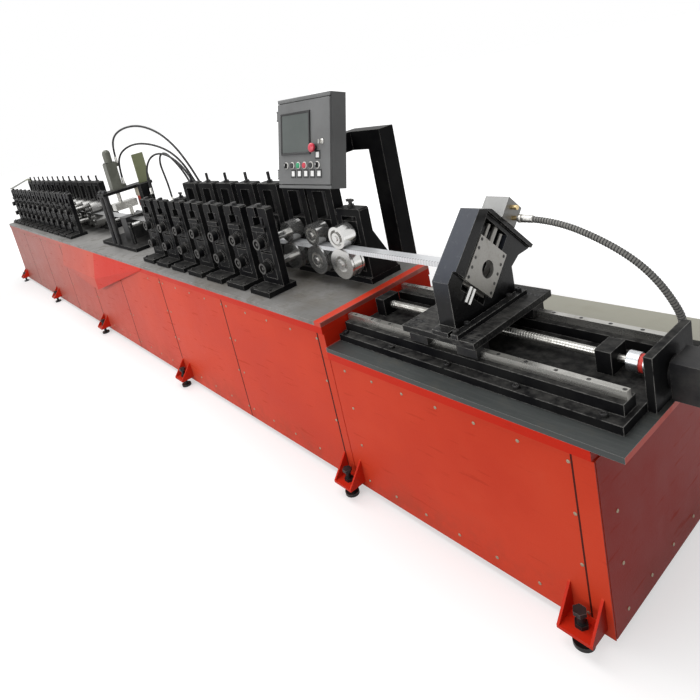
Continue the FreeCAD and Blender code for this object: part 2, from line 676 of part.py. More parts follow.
strip = named("PartDesign::Body", "formed_strip")
flat = sketch(strip, "flat", "YZ_Plane", "strip_lead - forming_length")
rectangle(flat, (CENTRE + " - flat_width / 2", PASS_Z + " - strip_thick"),
          (CENTRE + " + flat_width / 2", PASS_Z))
pad(strip, flat, "strip_form - strip_lead + forming_length")
channel = sketch(strip, "channel", "YZ_Plane", "strip_form - 1")
half = " strip_width / 2"
inner = " (strip_width / 2 - strip_thick)"
polygon(channel, [(CENTRE + " -" + half, PASS_Z), (CENTRE + " +" + half, PASS_Z),
                  (CENTRE + " +" + half, PASS_Z + " - strip_leg"),
                  (CENTRE + " +" + inner, PASS_Z + " - strip_leg"),
                  (CENTRE + " +" + inner, PASS_Z + " - strip_thick"),
                  (CENTRE + " -" + inner, PASS_Z + " - strip_thick"),
                  (CENTRE + " -" + inner, PASS_Z + " - strip_leg"),
                  (CENTRE + " -" + half, PASS_Z + " - strip_leg")])
pad(strip, channel, "strip_end - strip_form + 1")

# Punch unit: a bed on the forming base, a die with a tunnel for the strip, a head on
# four columns, and a hydraulic cylinder that drives the ram.

BED_TOP = "(" + FORMING_TOP + " + punch_bed_thick)"
STRIP_LOW = PASS_Z + " - strip_thick - fit"
HEAD_LOW = "(" + FORMING_TOP + " + head_rise)"
HEAD_TOP = "(" + FORMING_TOP + " + head_rise + head_thick)"
RAM_Y = "(foot_out + forming_width / 2 + cylinder_y)"
RAM_LOW = "(" + FORMING_TOP + " + ram_rise)"

punch_bed = box("punch_bed", ("punch_x - 380", CENTRE + " - punch_bed_width / 2",
                              FORMING_TOP),
                ("punch_bed_length", "punch_bed_width", "punch_bed_thick"))
die_body = box("die_body", ("punch_x - die_length / 2", CENTRE + " - die_width / 2",
                            BED_TOP),
               ("die_length", "die_width",
                PASS_Z + " + stripper_rise + stripper_thick - " + BED_TOP))
tunnel = box("die_tunnel", ("punch_x - die_length / 2 - 1",
                            CENTRE + " - flat_width / 2 - die_gap",
                            STRIP_LOW),
             ("die_length + 2", "flat_width + 2 * die_gap",
              PASS_Z + " + stripper_rise - (" + STRIP_LOW + ")"))
punch_holes = [cylinder("punch_hole_%d" % n,
                        ("punch_x + %d * die_length / 6" % n, CENTRE,
                         PASS_Z + " - 60"),
                        "punch_radius + die_gap - 2", "stripper_thick + 100")
               for n in (-1, 1)]
punch_die = cut("punch_die", die_body, tunnel, *punch_holes)

columns = []
for index, (dx, dy) in enumerate(((-1, -1), (1, -1), (-1, 1), (1, 1))):
    columns.append(cylinder("column_%d" % index,
                            ("punch_x + %d * column_x" % dx,
                             CENTRE + " + %d * column_y" % dy, BED_TOP),
                            "column_radius", HEAD_LOW + " - " + BED_TOP))
punch_columns = compound("punch_columns", *columns)
head_plate = box("head_plate", ("punch_x - head_length / 2",
                                CENTRE + " - head_width / 2", HEAD_LOW),
                 ("head_length", "head_width", "head_thick"))
head_hole = cylinder("head_hole", ("punch_x", RAM_Y, HEAD_LOW + " - 1"),
                     "rod_radius + fit", "head_thick + 2")
end_block = box("punch_end_block", ("punch_x + head_length / 2 - 1",
                                    CENTRE + " + end_block_y",
                                    HEAD_TOP + " - end_block_drop"),
                ("end_block_x", "end_block_width", "end_block_drop"))
block_elbow = box("block_elbow", ("punch_x + head_length / 2 + end_block_x - 2",
                                  CENTRE + " + 137", HEAD_TOP + " - 131"),
                  ("elbow_out", "26", "26"))
punch_head = cut("punch_head", fuse("head_parts", head_plate, end_block, block_elbow),
                 head_hole)

barrel = box("cylinder_barrel", ("punch_x - cylinder_side / 2",
                                 RAM_Y + " - cylinder_side / 2", HEAD_TOP),
             ("cylinder_side", "cylinder_side", "cylinder_height"))
dome = cylinder("cylinder_cap", ("punch_x", RAM_Y, HEAD_TOP + " + cylinder_height"),
                "dome_radius", "dome_height - dome_radius")
dome_end = named("Part::Sphere", "cylinder_dome")
bind(dome_end, {"Radius": "dome_radius"})
place(dome_end, "punch_x", RAM_Y,
      HEAD_TOP + " + cylinder_height + dome_height - dome_radius")
bore = cylinder("cylinder_bore", ("punch_x", RAM_Y, HEAD_TOP + " - 1"),
                "rod_radius + fit", "punch_stroke + 40")
elbows = [box("cylinder_elbow_%d" % n,
              ("punch_x + %d" % x, RAM_Y + " + cylinder_side / 2 - 1",
               HEAD_TOP + " + %d" % rise), ("26", "elbow_out", "26"))
          for n, (x, rise) in enumerate(((-15, 182), (9, 4)))]
punch_cylinder = cut("punch_cylinder",
                     fuse("cylinder_outer", barrel, dome, dome_end, *elbows), bore)

rod = cylinder("ram_rod", ("punch_x", RAM_Y, RAM_LOW + " + ram_height"), "rod_radius",
               HEAD_TOP + " + punch_stroke + 10 - (" + RAM_LOW + " + ram_height)")
block = box("ram_block", ("punch_x - ram_length / 2", CENTRE + " - ram_width / 2 - 40",
                          RAM_LOW), ("ram_length", "ram_width", "ram_height"))
punches = [cylinder("punch_%d" % n,
                    ("punch_x + %d * die_length / 6" % n, CENTRE,
                     PASS_Z + " + 5 + punch_stroke"), "punch_radius",
                    RAM_LOW + " - (" + PASS_Z + " + 5 + punch_stroke)")
           for n in (-1, 1)]
punch_ram = fuse("punch_ram", rod, block, *punches)

valve_block = box("valve_block", ("punch_x - 10", CENTRE + " + 80",
                                        HEAD_LOW + " - 75"), ("80", "80", "75"))
punch_guard = box("punch_guard", ("punch_x + 10", CENTRE + " + 80",
                                  HEAD_LOW + " - 165"), ("60", "74", "90"))
tall_plate = box("punch_back_plate", ("punch_x + 55", CENTRE + " + 110",
                                      HEAD_TOP), ("12", "100", "245"))

# Hoses of the punch: from the cylinder, the end block and a valve post, over the table in
# long bends, down to a manifold behind the housings.


def hose(name, radius, route):
    """A tube along straight runs that are joined by tangent arcs."""
    points = [Vector(*spot) for spot in route]
    path = []
    bends = []
    start = points[0]
    for before, corner, after in zip(points, points[1:], points[2:]):
        back = before - corner
        ahead = after - corner
        half_turn = (math.pi - back.getAngle(ahead)) / 2
        reach = 0.45 * min(back.Length, ahead.Length)
        bends.append(reach / math.tan(half_turn))
        back.normalize()
        ahead.normalize()
        enter = corner + back * reach
        leave = corner + ahead * reach
        depth = bends[-1] / math.cos(half_turn) - bends[-1]
        middle = back + ahead
        middle.normalize()
        path.append(Part.LineSegment(start, enter).toShape())
        path.append(Part.Arc(enter, corner + middle * depth, leave).toShape())
        start = leave
    path.append(Part.LineSegment(start, points[-1]).toShape())
    wire = Part.Wire(path)
    rim = Part.Wire(Part.makeCircle(radius, points[0], points[1] - points[0]))
    item = named("Part::Feature", name)
    item.Shape = wire.makePipeShell([rim], True, False)
    print("%s: %.0f mm long, bends from %.0f mm, volume %.4f of its length's"
          % (name, wire.Length, min(bends),
             item.Shape.Volume / (math.pi * radius ** 2 * wire.Length)))
    return item


TOP_HOSE = [(-2872, 388, 1508), (-2872, 388, 1628), (-2815, 402, 1728),
            (-2660, 440, 1776), (-2460, 494, 1772), (-2270, 548, 1696),
            (-2130, 590, 1570), (-2030, 618, 1410), (-1965, 640, 1250),
            (-1945, 688, 1095), (-1945, 688, 960)]
LONG_HOSE = [(-2848, 385, 1330), (-2848, 385, 1442), (-2815, 392, 1546),
             (-2715, 420, 1612), (-2560, 470, 1638), (-2390, 524, 1610),
             (-2230, 575, 1542), (-2120, 612, 1436), (-2065, 640, 1290),
             (-2050, 688, 1130), (-2050, 688, 960)]
BLOCK_HOSE = [(-2705, 540, 1195), (-2705, 540, 1300), (-2703, 556, 1415),
              (-2632, 582, 1495), (-2505, 606, 1522), (-2355, 620, 1492),
              (-2225, 632, 1424), (-2135, 642, 1330), (-2102, 664, 1210),
              (-2095, 688, 1090), (-2095, 688, 960)]
POST_HOSE = [(-2552, 640, 1090), (-2552, 640, 1215), (-2576, 640, 1322),
             (-2604, 640, 1424), (-2556, 640, 1500), (-2440, 640, 1516),
             (-2310, 640, 1440), (-2210, 642, 1355), (-2158, 652, 1250),
             (-2145, 688, 1120), (-2145, 688, 960)]
hoses = [hose("punch_hose_%s" % tag, size("hose_radius"), route)
         for tag, route in zip("abcd", (TOP_HOSE, LONG_HOSE, BLOCK_HOSE, POST_HOSE))]
manifold_block = box("manifold_block", ("manifold_left", CENTRE + " + manifold_near",
                                        FORMING_TOP),
                     ("manifold_length", "manifold_width", "manifold_height"))
valve_post = box("valve_post", ("valve_post_x", CENTRE + " + 225", FORMING_TOP),
                 ("valve_post_side", "valve_post_side", "valve_post_rise"))
hose_manifold = compound("hose_manifold", manifold_block, valve_post)

rollers = []
stands = []
for side in (-1, 1):
    at = "punch_x + %d * roller_reach" % side
    axle = STRIP_LOW + " - roller_radius"
    tag = "a" if side < 0 else "b"
    roller = roll("guide_roller_" + tag,
                  [("-roller_length / 2 - bearing_thick", "roller_radius / 2"),
                   ("-roller_length / 2 + 4", "roller_radius / 2"),
                   ("-roller_length / 2 + 4", "roller_radius"),
                   ("roller_length / 2 - 4", "roller_radius"),
                   ("roller_length / 2 - 4", "roller_radius / 2"),
                   ("roller_length / 2 + bearing_thick", "roller_radius / 2")])
    rollers.append(place(roller, at, CENTRE, axle))
    posts = [box("roller_post_%s%d" % (tag, n),
                 (at + " - bearing_side / 2", CENTRE + y, BED_TOP),
                 ("bearing_side", "bearing_thick", axle + " + 28 - " + BED_TOP))
             for n, y in enumerate((" - roller_length / 2 - bearing_thick",
                                    " + roller_length / 2"))]
    hole = cylinder("roller_hole_" + tag, (at, CENTRE + " - roller_length", axle),
                    "roller_radius / 2 + fit", "2 * roller_length", along="y")
    stands.append(cut("roller_stand_" + tag, compound("roller_posts_" + tag, *posts),
                      hole))
roller_stands = compound("roller_stands", *stands)

# Control panel: a post on the far side with an arm, a wedge bracket and a hollow box
# that leans back, with a door that carries the screen and the controls.

POST_Y = "(" + FORMING_FAR + " + post_out)"
post = box("post_tube", ("post_x", POST_Y, "post_low"),
           ("post_side", "post_side", "post_top - post_low"))
arm = box("post_arm", ("arm_start", POST_Y, "post_top - post_side"),
          ("post_x - arm_start + 1", "post_side", "post_side"))
ties = [box("post_" + tie, ("post_x", FORMING_FAR, "post_low + " + tie),
            ("post_side", "post_out + 1", "tie_height"))
        for tie in ("tie_low", "tie_high")]
LEAN = Rotation(Vector(-1, 0, 0), 15)


def leaned(item):
    """Stands a panel part on the panel's front lower edge, leaned back."""
    item.Placement.Rotation = LEAN
    bind(item, {"Placement.Rotation.Angle": "panel_lean"})
    return place(item, "panel_x", CENTRE + " - panel_ahead", "panel_z")


case = named("PartDesign::Body", "control_box")
outer = sketch(case, "outer", "XZ_Plane")
rectangle(outer, ("0", "0"), ("panel_width", "panel_height"))
pad(case, outer, "panel_depth", back=True)
hollow = sketch(case, "hollow", "XZ_Plane")
rectangle(hollow, ("panel_wall", "panel_wall"),
          ("panel_width - panel_wall", "panel_height - panel_wall"))
pocket(case, hollow, "panel_depth - panel_wall")
for tag in ("low", "high"):
    foot = "hinge_" + tag
    for end, lift in (("a", foot + " - lug_thick"), ("b", foot + " + knuckle_length")):
        lug = sketch(case, tag + end, "XY_Plane", lift)
        rectangle(lug, ("-2 * hinge_out", "-hinge_reach - hinge_out"), ("0.5", "20"))
        pad(case, lug, "lug_thick")
    pin = sketch(case, tag + "_pin", "XY_Plane", foot + " - lug_thick")
    circle(pin, ("-hinge_out", "-hinge_reach"), "hinge_pin")
    pad(case, pin, "knuckle_length + 2 * lug_thick")
leaned(case)

door = named("PartDesign::Body", "control_door")
leaf = sketch(door, "leaf", "XZ_Plane", "door_gap")
rectangle(leaf, ("door_edge", "door_low"), ("panel_width - 2", "door_high"))
pad(door, leaf, "door_thick")
for tag in ("low", "high"):
    knuckle = sketch(door, tag, "XY_Plane", "hinge_" + tag + " + 1")
    circle(knuckle, ("-hinge_out", "-hinge_reach"), "knuckle_radius")
    pad(door, knuckle, "knuckle_length - 2")
    strap = sketch(door, tag + "_strap", "XY_Plane", "hinge_" + tag + " + 1")
    rectangle(strap, ("-hinge_out", "-hinge_reach - knuckle_radius"),
              ("door_edge + 2", "1 - hinge_reach - knuckle_radius + hinge_pin"))
    pad(door, strap, "knuckle_length - 2")
hole = sketch(door, "pin_holes", "XY_Plane", "0")
circle(hole, ("-hinge_out", "-hinge_reach"), "hinge_pin + fit")
pocket(door, hole)
leaned(door)


def on_door(name, low, high, thick):
    item = named("PartDesign::Body", name)
    face = sketch(item, "face", "XZ_Plane", "door_gap + door_thick")
    rectangle(face, low, high)
    pad(item, face, thick)
    return leaned(item)


screen = on_door("control_screen", ("screen_left", "screen_low"),
                 ("screen_left + screen_width", "screen_low + screen_height"),
                 "screen_thick")
PANEL = Placement(Vector(size("panel_x"), size(CENTRE + " - panel_ahead"),
                         size("panel_z")),
                  Rotation(Vector(1, 0, 0), -size("panel_lean")))
FRONT = -size("door_gap + door_thick")


def button_row(name, radius, length, places):
    source = cylinder(name + "_one", ("0", "0", "0"), radius, length, along="y")
    source.Placement.Rotation = Rotation(Vector(1, 0, 0), 90)
    return copies(name, source, [PANEL.multiply(Placement(Vector(x, FRONT, z),
                                                          Rotation()))
                                 for x, z in places])


def on_row(*numbers):
    return [(size("row_left + %d * row_step" % n), size("row_rise")) for n in numbers]


buttons = button_row("round_buttons", "button_radius", "button_out",
                     on_row(1, 2, 3, 4) + [(size("lock_x"), size("lock_rise"))])
knobs = button_row("control_knobs", "knob_radius", "knob_out", on_row(0, 5))
stop = button_row("stop_button", "stop_radius", "stop_out",
                  [(size("stop_x"), size("stop_rise"))])

wedge = named("PartDesign::Body", "panel_bracket")
side = sketch(wedge, "side", "YZ_Plane", "arm_start")
BACK = CENTRE + " - panel_ahead + panel_depth / cos(panel_lean)"
back_low = BACK + " + (post_top - post_side - panel_z) * tan(panel_lean)"
back_high = BACK + " + (post_top - panel_z) * tan(panel_lean)"
polygon(side, [(back_low, "post_top - post_side"), (back_high, "post_top"),
               (POST_Y + " + 1", "post_top"), (POST_Y + " + 1", "post_top - post_side")])
pad(wedge, side, "bracket_width")
control_post = fuse("control_post", post, arm, wedge, *ties)

# Slide bed on the cutting base: two rails on beams, and a ball screw in two supports
# that a servo motor turns through a coupling.

TABLE = "(" + CUTTING_TOP + ")"
BED = "(" + CUTTING_TOP + " + bed_thick)"
RAIL_TOP = "(" + CUTTING_TOP + " + bed_thick + beam_height + rail_height)"
SCREW_Z = "(" + CUTTING_TOP + " + bed_thick + screw_rise)"

BED_END = "(cutting_length + bed_over)"
RAIL_LINES = {"near": CENTRE + " - rail_near", "far": CENTRE + " + rail_far"}

bed_plate = box("bed_plate", ("bed_start", CENTRE + " - bed_width / 2", TABLE),
                (BED_END + " - bed_start", "bed_width", "bed_thick"))
beams = []
rails = []
for tag, centre in RAIL_LINES.items():
    beams.append(box("beam_" + tag, ("bed_start", centre + " - beam_width / 2", BED),
                     (BED_END + " - rail_inset - bed_start", "beam_width",
                      "beam_height")))
    rails.append(box("rail_" + tag, ("bed_start", centre + " - rail_width / 2",
                                     BED + " + beam_height"),
                     (BED_END + " - rail_inset - bed_start", "rail_width",
                      "rail_height")))
hose_fitting = cylinder("hose_fitting", (BED_END + " - fitting_inset",
                                         CENTRE + " + fitting_reach", TABLE),
                        "guarded_radius + 3", "bed_thick + fitting_rise")
slide_bed = fuse("slide_bed", bed_plate, *beams, hose_fitting)
guide_rails = compound("guide_rails", *rails)

supports = []
RIGHT_SUPPORT = BED_END + " - support_inset"
for tag, left in (("left", "support_left"), ("right", RIGHT_SUPPORT)):
    block = box("support_block_" + tag, (left, CENTRE + " - support_width / 2", BED),
                ("support_length", "support_width", "support_height"))
    hole = cylinder("support_hole_" + tag, (left + " - 1", CENTRE, SCREW_Z),
                    "journal_radius + fit", "support_length + 2", along="x")
    supports.append(cut("screw_support_" + tag, block, hole))


def shaft(name, outline):
    """A body turned about the screw's axis, from pairs of X and radius."""
    body = named("PartDesign::Body", name)
    profile = sketch(body, "profile", "XZ_Plane")
    polygon(profile, [(outline[0][0], "0")] + outline + [(outline[-1][0], "0")])
    revolution(body, profile)
    return place(body, "0", CENTRE, SCREW_Z)


THREAD_LEFT = "support_left + support_length + 2"
THREAD_RIGHT = RIGHT_SUPPORT + " - 2"
COUPLING = BED_END + " - coupling_inset"
ball_screw = shaft("ball_screw", [
    ("support_left - 4", "journal_radius"), (THREAD_LEFT, "journal_radius"),
    (THREAD_LEFT, "thread_radius"), (THREAD_RIGHT, "thread_radius"),
    (THREAD_RIGHT, "journal_radius"), (COUPLING, "journal_radius")])
HALF_END = COUPLING + " + coupling_half"
SPIDER_END = COUPLING + " + coupling_half + spider_thick"
coupling_left = shaft("coupling_left", [(COUPLING, "coupling_radius"),
                                        (HALF_END, "coupling_radius")])
coupling_right = shaft("coupling_right", [
    (SPIDER_END, "coupling_radius"),
    (SPIDER_END + " + coupling_half", "coupling_radius"),
    (SPIDER_END + " + coupling_half", "journal_radius"),
    (BED_END + " + motor_plate_thick + motor_boss", "journal_radius")])
shaft_coupling = compound("shaft_coupling", coupling_left, coupling_right)
spider = shaft("coupling_spider", [(HALF_END, "coupling_radius - 3"),
                                   (SPIDER_END, "coupling_radius - 3")])

plate_block = box("motor_plate_block", (BED_END,
                                        CENTRE + " - motor_plate_width / 2", TABLE),
                  ("motor_plate_thick", "motor_plate_width", "motor_plate_rise"))
plate_hole = cylinder("motor_plate_hole", (BED_END + " - 1", CENTRE,
                                           SCREW_Z), "journal_radius + 2",
                      "motor_plate_thick + 2", along="x")
supports.append(cut("motor_plate", plate_block, plate_hole))
screw_supports = compound("screw_supports", *supports)
MOTOR_X = BED_END + " + motor_plate_thick"
motor_neck = cylinder("motor_neck", (MOTOR_X, CENTRE, SCREW_Z), "motor_side * 0.42",
                      "motor_boss + 1", along="x")
motor_body = box("motor_body", (MOTOR_X + " + motor_boss", CENTRE + " - motor_side / 2",
                                SCREW_Z + " - motor_side / 2"),
                 ("motor_length", "motor_side", "motor_side"))
motor_hole = cylinder("motor_hole", (MOTOR_X + " - 1", CENTRE, SCREW_Z),
                      "journal_radius + 2", "motor_boss + 6", along="x")
servo_motor = cut("servo_motor", fuse("motor_solid", motor_neck, motor_body),
                  motor_hole)

# Carriage: a plate on four blocks that grip the rails, with the screw's nut under it.

PLATE_LOW = "(" + RAIL_TOP + " + carriage_gap)"
PLATE_TOP = "(" + RAIL_TOP + " + carriage_gap + carriage_thick)"
carriage_plate = box("carriage_plate", ("carriage_x", CENTRE + " - carriage_near",
                                        PLATE_LOW),
                     ("carriage_length", "carriage_width", "carriage_thick"))
blocks = []
grooves = []
for tag, centre in RAIL_LINES.items():
    for n, x in enumerate(("carriage_x + 10",
                           "carriage_x + carriage_length - slider_length - 10")):
        blocks.append(box("slider_%s%d" % (tag, n),
                          (x, centre + " - slider_width / 2",
                           RAIL_TOP + " - slider_grip"),
                          ("slider_length", "slider_width",
                           "carriage_gap + slider_grip")))
    grooves.append(box("slider_groove_" + tag,
                       ("carriage_x", centre + " - rail_width / 2 - fit",
                        RAIL_TOP + " - slider_grip - 1"),
                       ("carriage_length", "rail_width + 2 * fit",
                        "slider_grip + 1 + fit")))
slide_blocks = cut("slide_blocks", compound("slider_set", *blocks), *grooves)
nut_block = box("nut_solid", ("carriage_x + (carriage_length - nut_length) / 2",
                              CENTRE + " - nut_width / 2",
                              BED + " + 8"),
                ("nut_length", "nut_width", PLATE_LOW + " - " + BED + " - 8"))
nut_hole = cylinder("nut_hole", ("carriage_x", CENTRE, SCREW_Z),
                    "thread_radius + fit", "carriage_length", along="x")
screw_nut = cut("screw_nut", nut_block, nut_hole)

# Cutter: a frame on the carriage with a pocket at 45 degrees, where a blade slides
# behind a die plate. Places in the frame that tilts are taken from the bore's centre.

sole_bar = box("cutter_sole_bar", ("frame_x", CENTRE + " - cutter_sole_near",
                                   PLATE_TOP),
               ("cutter_sole_length", "cutter_sole_width", "cutter_sole"))
STRIP_MID = "(" + PASS_Z + " - strip_leg / 2)"
outline_body = named("PartDesign::Body", "frame_outline")
outline = sketch(outline_body, "outline", "YZ_Plane", "frame_x")
FOOT = "(" + PLATE_TOP[1:-1] + " + cutter_sole)"
EDGES = [(-205, 0), (-205, 167), (10, 372), (79, 350), (295, 134), (277, 122),
         (211, 120), (160, 92), (160, 0)]
polygon(outline, [("%s + %d" % (CENTRE, y), "%s + %d" % (FOOT, z)) for y, z in EDGES])
pad(outline_body, outline, "frame_thick")

TILT = Rotation(Vector(1, 0, 0), -45)


def tilted(item):
    item.Placement.Rotation = TILT
    return place(item, "0", CENTRE, STRIP_MID)


def tilted_body(name, lift, low, high, thick):
    """A block in the tilted frame, between two corners, from an X place."""
    item = named("PartDesign::Body", name)
    face = sketch(item, "face", "YZ_Plane", lift)
    rectangle(face, low, high)
    pad(item, face, thick)
    return item


FRONT_X = "frame_x + frame_thick"
pocket_tool = tilted_body("pocket_tool", FRONT_X + " - pocket_depth",
                          ("-pocket_width / 2 - pocket_shift", "-pocket_low"),
                          ("pocket_width / 2 - pocket_shift", "pocket_high"),
                          "pocket_depth + 1")
recess_tool = named("PartDesign::Body", "recess_tool")
recess = sketch(recess_tool, "recess", "YZ_Plane", FRONT_X + " - front_step")
EDGE = "-die_side / 2 - pocket_shift - 5"
polygon(recess, [(EDGE, "pocket_high + 20"), ("400", "pocket_high + 20"),
                 ("400", "-400"), ("-400", "-400"), ("-400", "-die_low + 3"),
                 (EDGE, "-die_low + 3")])
pad(recess_tool, recess, "front_step + 1")
bore_tool = named("PartDesign::Body", "bore_tool")
ring = sketch(bore_tool, "ring", "YZ_Plane", "frame_x - 1")
circle(ring, ("0", "0"), "frame_bore")
pad(bore_tool, ring, "frame_thick")
rod_tool = named("PartDesign::Body", "rod_tool")
MID_X = "frame_x + frame_thick - front_step - pocket_depth / 2 + front_step / 2"
ring = sketch(rod_tool, "ring", "XY_Plane", "pocket_high - 1")
circle(ring, (MID_X, "0"), "cutter_rod_radius + fit")
pad(rod_tool, ring, "100")
cutter_frame = cut("cutter_frame", fuse("frame_solid", outline_body, sole_bar),
                   tilted(pocket_tool), tilted(recess_tool), tilted(bore_tool),
                   tilted(rod_tool))

BLADE_X = FRONT_X + " - pocket_depth + blade_gap"
BLADE_THICK = "pocket_depth - front_step - 2 * blade_gap"
blade = tilted_body("cutter_blade", BLADE_X,
                    ("-pocket_width / 2 - pocket_shift + blade_side", "-blade_low"),
                    ("pocket_width / 2 - pocket_shift - blade_side", "blade_high"),
                    BLADE_THICK)
slot = sketch(blade, "slot", "YZ_Plane", BLADE_X)
rectangle(slot, ("-bore_radius", "0"), ("bore_radius", "blade_stroke"))
pocket(blade, slot)
for n, lift in enumerate(("0", "blade_stroke")):
    end = sketch(blade, "end%d" % n, "YZ_Plane", BLADE_X)
    circle(end, ("0", lift), "bore_radius")
    pocket(blade, end)
rod = sketch(blade, "rod", "XY_Plane", "blade_high - 1")
circle(rod, (MID_X, "0"), "cutter_rod_radius")
pad(blade, rod, "cylinder_seat + 20 - blade_high")
for n in (-1, 1):
    pin = sketch(blade, "pin%d" % (n + 2), "XY_Plane", "blade_high - 1")
    circle(pin, (MID_X, "%d * pin_spacing" % n), "pin_radius")
    pad(blade, pin, "pin_length")
tilted(blade)

die_plate = tilted_body("die_plate", FRONT_X + " - front_step",
                        ("-die_side / 2 - pocket_shift", "-die_low"),
                        ("die_side / 2 - pocket_shift", "die_side - die_low"),
                        "die_thick")
ring = sketch(die_plate, "ring", "YZ_Plane", FRONT_X + " - front_step")
circle(ring, ("0", "0"), "bore_radius")
pocket(die_plate, ring)
tilted(die_plate)

pins = []
for n, y in enumerate(("-47", "-25")):
    pin = named("PartDesign::Body", "guide_pin_%d" % n)
    ring = sketch(pin, "ring", "XY_Plane", "-pin_low")
    circle(ring, (FRONT_X + " - front_step + pin_radius", y), "pin_radius")
    pad(pin, ring, "pin_length")
    pins.append(tilted(pin))
guide_pins = compound("guide_pins", *pins)

cutter_body = tilted_body("cutter_block", "cutter_body_x",
                          ("cutter_body_side - cutter_body", "cylinder_seat"),
                          ("cutter_body_side", "cylinder_seat + cutter_body_length"),
                          "cutter_body_thick")
tilted(cutter_body)
ring = named("PartDesign::Body", "cutter_bore")
profile = sketch(ring, "ring", "XY_Plane", "cylinder_seat - 1")
circle(profile, (MID_X, "0"), "cutter_rod_radius + fit")
pad(ring, profile, "blade_stroke + 30")
cutter_cylinder = cut("cutter_cylinder", cutter_body, tilted(ring))
ports = []
for n in (-1, 1):
    port = named("PartDesign::Body", "port_%d" % (n + 1))
    ring = sketch(port, "ring", "YZ_Plane", "cutter_body_x + cutter_body_thick")
    circle(ring, ("cutter_body_side - cutter_body / 2 + %d * port_shift" % n,
                  "port_seat - %d * port_shift" % n), "port_radius")
    pad(port, ring, "port_length")
    ports.append(tilted(port))
port_fittings = compound("port_fittings", *ports)

# Guarded hose that follows the cutter, from its near port to a fitting on the bed.

CUTTER_HOSE = [(641, 577, 1157), (722, 577, 1157), (820, 578, 1141), (905, 580, 1108),
               (985, 582, 1066), (1050, 585, 1016), (1098, 590, 956), (1130, 600, 888),
               (1141, 617, 830), (1141, 617, 764)]
cutter_hose = hose("cutter_hose", size("guarded_radius"), CUTTER_HOSE)

# Sub-parts that make up the machine

side_panels = gather("side_panels", forming_panels, joint_panel, cutting_panels,
                     corner_panels, cutting_end)
table_plates = gather("table_plates", forming_top, cutting_top)
housings_near = gather("housings_near", entry_near, finish_near)
housings_far = gather("housings_far", entry_far, finish_far, low_housings)
bearing_blocks = gather("bearing_blocks", blocks_near, blocks_far, bored_blocks)
adjusting_screws = gather("adjusting_screws", screws_near, screws_far, screws_low)
fixed_rolls = gather("fixed_rolls", entry_upper, entry_lower, finish_upper, finish_lower)
control_buttons = gather("control_buttons", buttons, knobs, stop)
valve_blocks = gather("punch_valve_block", valve_block, hose_manifold)

NODES = [forming_base, cutting_base, side_panels, table_plates, foot_brackets, jack_bolts,
         side_chute, housings_near, housings_far, bearing_blocks, adjusting_screws,
         fixed_rolls, *rolls, cover, strip, punch_bed, punch_die, punch_columns,
         punch_head, punch_cylinder, punch_ram, valve_blocks, punch_guard, tall_plate,
         *hoses,
         *rollers, roller_stands, control_post, case, door, screen, control_buttons,
         slide_bed, guide_rails, screw_supports, ball_screw, shaft_coupling, spider,
         servo_motor, carriage_plate, slide_blocks, screw_nut, cutter_frame, blade,
         die_plate, guide_pins, cutter_cylinder, port_fittings, cutter_hose]

doc.recompute()
for item in doc.Objects:
    if {"Invalid", "Error"} & set(item.State):
        raise RuntimeError("%s is not right: %s" % (item.Label, item.State))
for item in NODES:
    shape = item.Shape
    if shape.isNull() or not shape.isValid() or not shape.Solids:
        raise RuntimeError("%s has no sound shape" % item.Label)

os.makedirs("parts", exist_ok=True)
for item in NODES:
    item.Shape.exportStep("parts/" + item.Label + ".step")
print("%d sub-parts" % len(NODES))
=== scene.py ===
import math

import bpy
from mathutils import Matrix, Vector


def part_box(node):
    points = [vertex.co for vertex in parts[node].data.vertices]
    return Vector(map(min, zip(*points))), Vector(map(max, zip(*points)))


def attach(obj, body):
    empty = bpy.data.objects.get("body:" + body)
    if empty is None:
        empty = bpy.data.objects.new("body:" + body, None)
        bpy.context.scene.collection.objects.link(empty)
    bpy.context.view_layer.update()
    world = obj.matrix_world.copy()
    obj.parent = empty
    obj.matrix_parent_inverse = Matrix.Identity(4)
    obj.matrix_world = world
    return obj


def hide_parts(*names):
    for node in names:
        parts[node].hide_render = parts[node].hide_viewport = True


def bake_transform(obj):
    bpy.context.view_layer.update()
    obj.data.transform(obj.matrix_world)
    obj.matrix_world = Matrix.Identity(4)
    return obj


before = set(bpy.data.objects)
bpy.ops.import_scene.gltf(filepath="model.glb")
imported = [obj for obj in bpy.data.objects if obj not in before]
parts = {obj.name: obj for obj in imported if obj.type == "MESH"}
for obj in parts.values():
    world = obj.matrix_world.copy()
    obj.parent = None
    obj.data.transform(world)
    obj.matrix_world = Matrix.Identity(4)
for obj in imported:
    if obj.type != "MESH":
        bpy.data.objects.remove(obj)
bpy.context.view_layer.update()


# The two bases: welded cabinets clad in sheet panels, with a flange strip under the edge
# of each table plate. They are sprayed red-orange in a glossy enamel that has gathered
# dust, scuffs along the panels and grime near the floor. Painted shade makes the faces
# toward the exit a deeper red and the exit end a darker maroon, and a painted sheen makes
# the other faces towards the entry end paler.

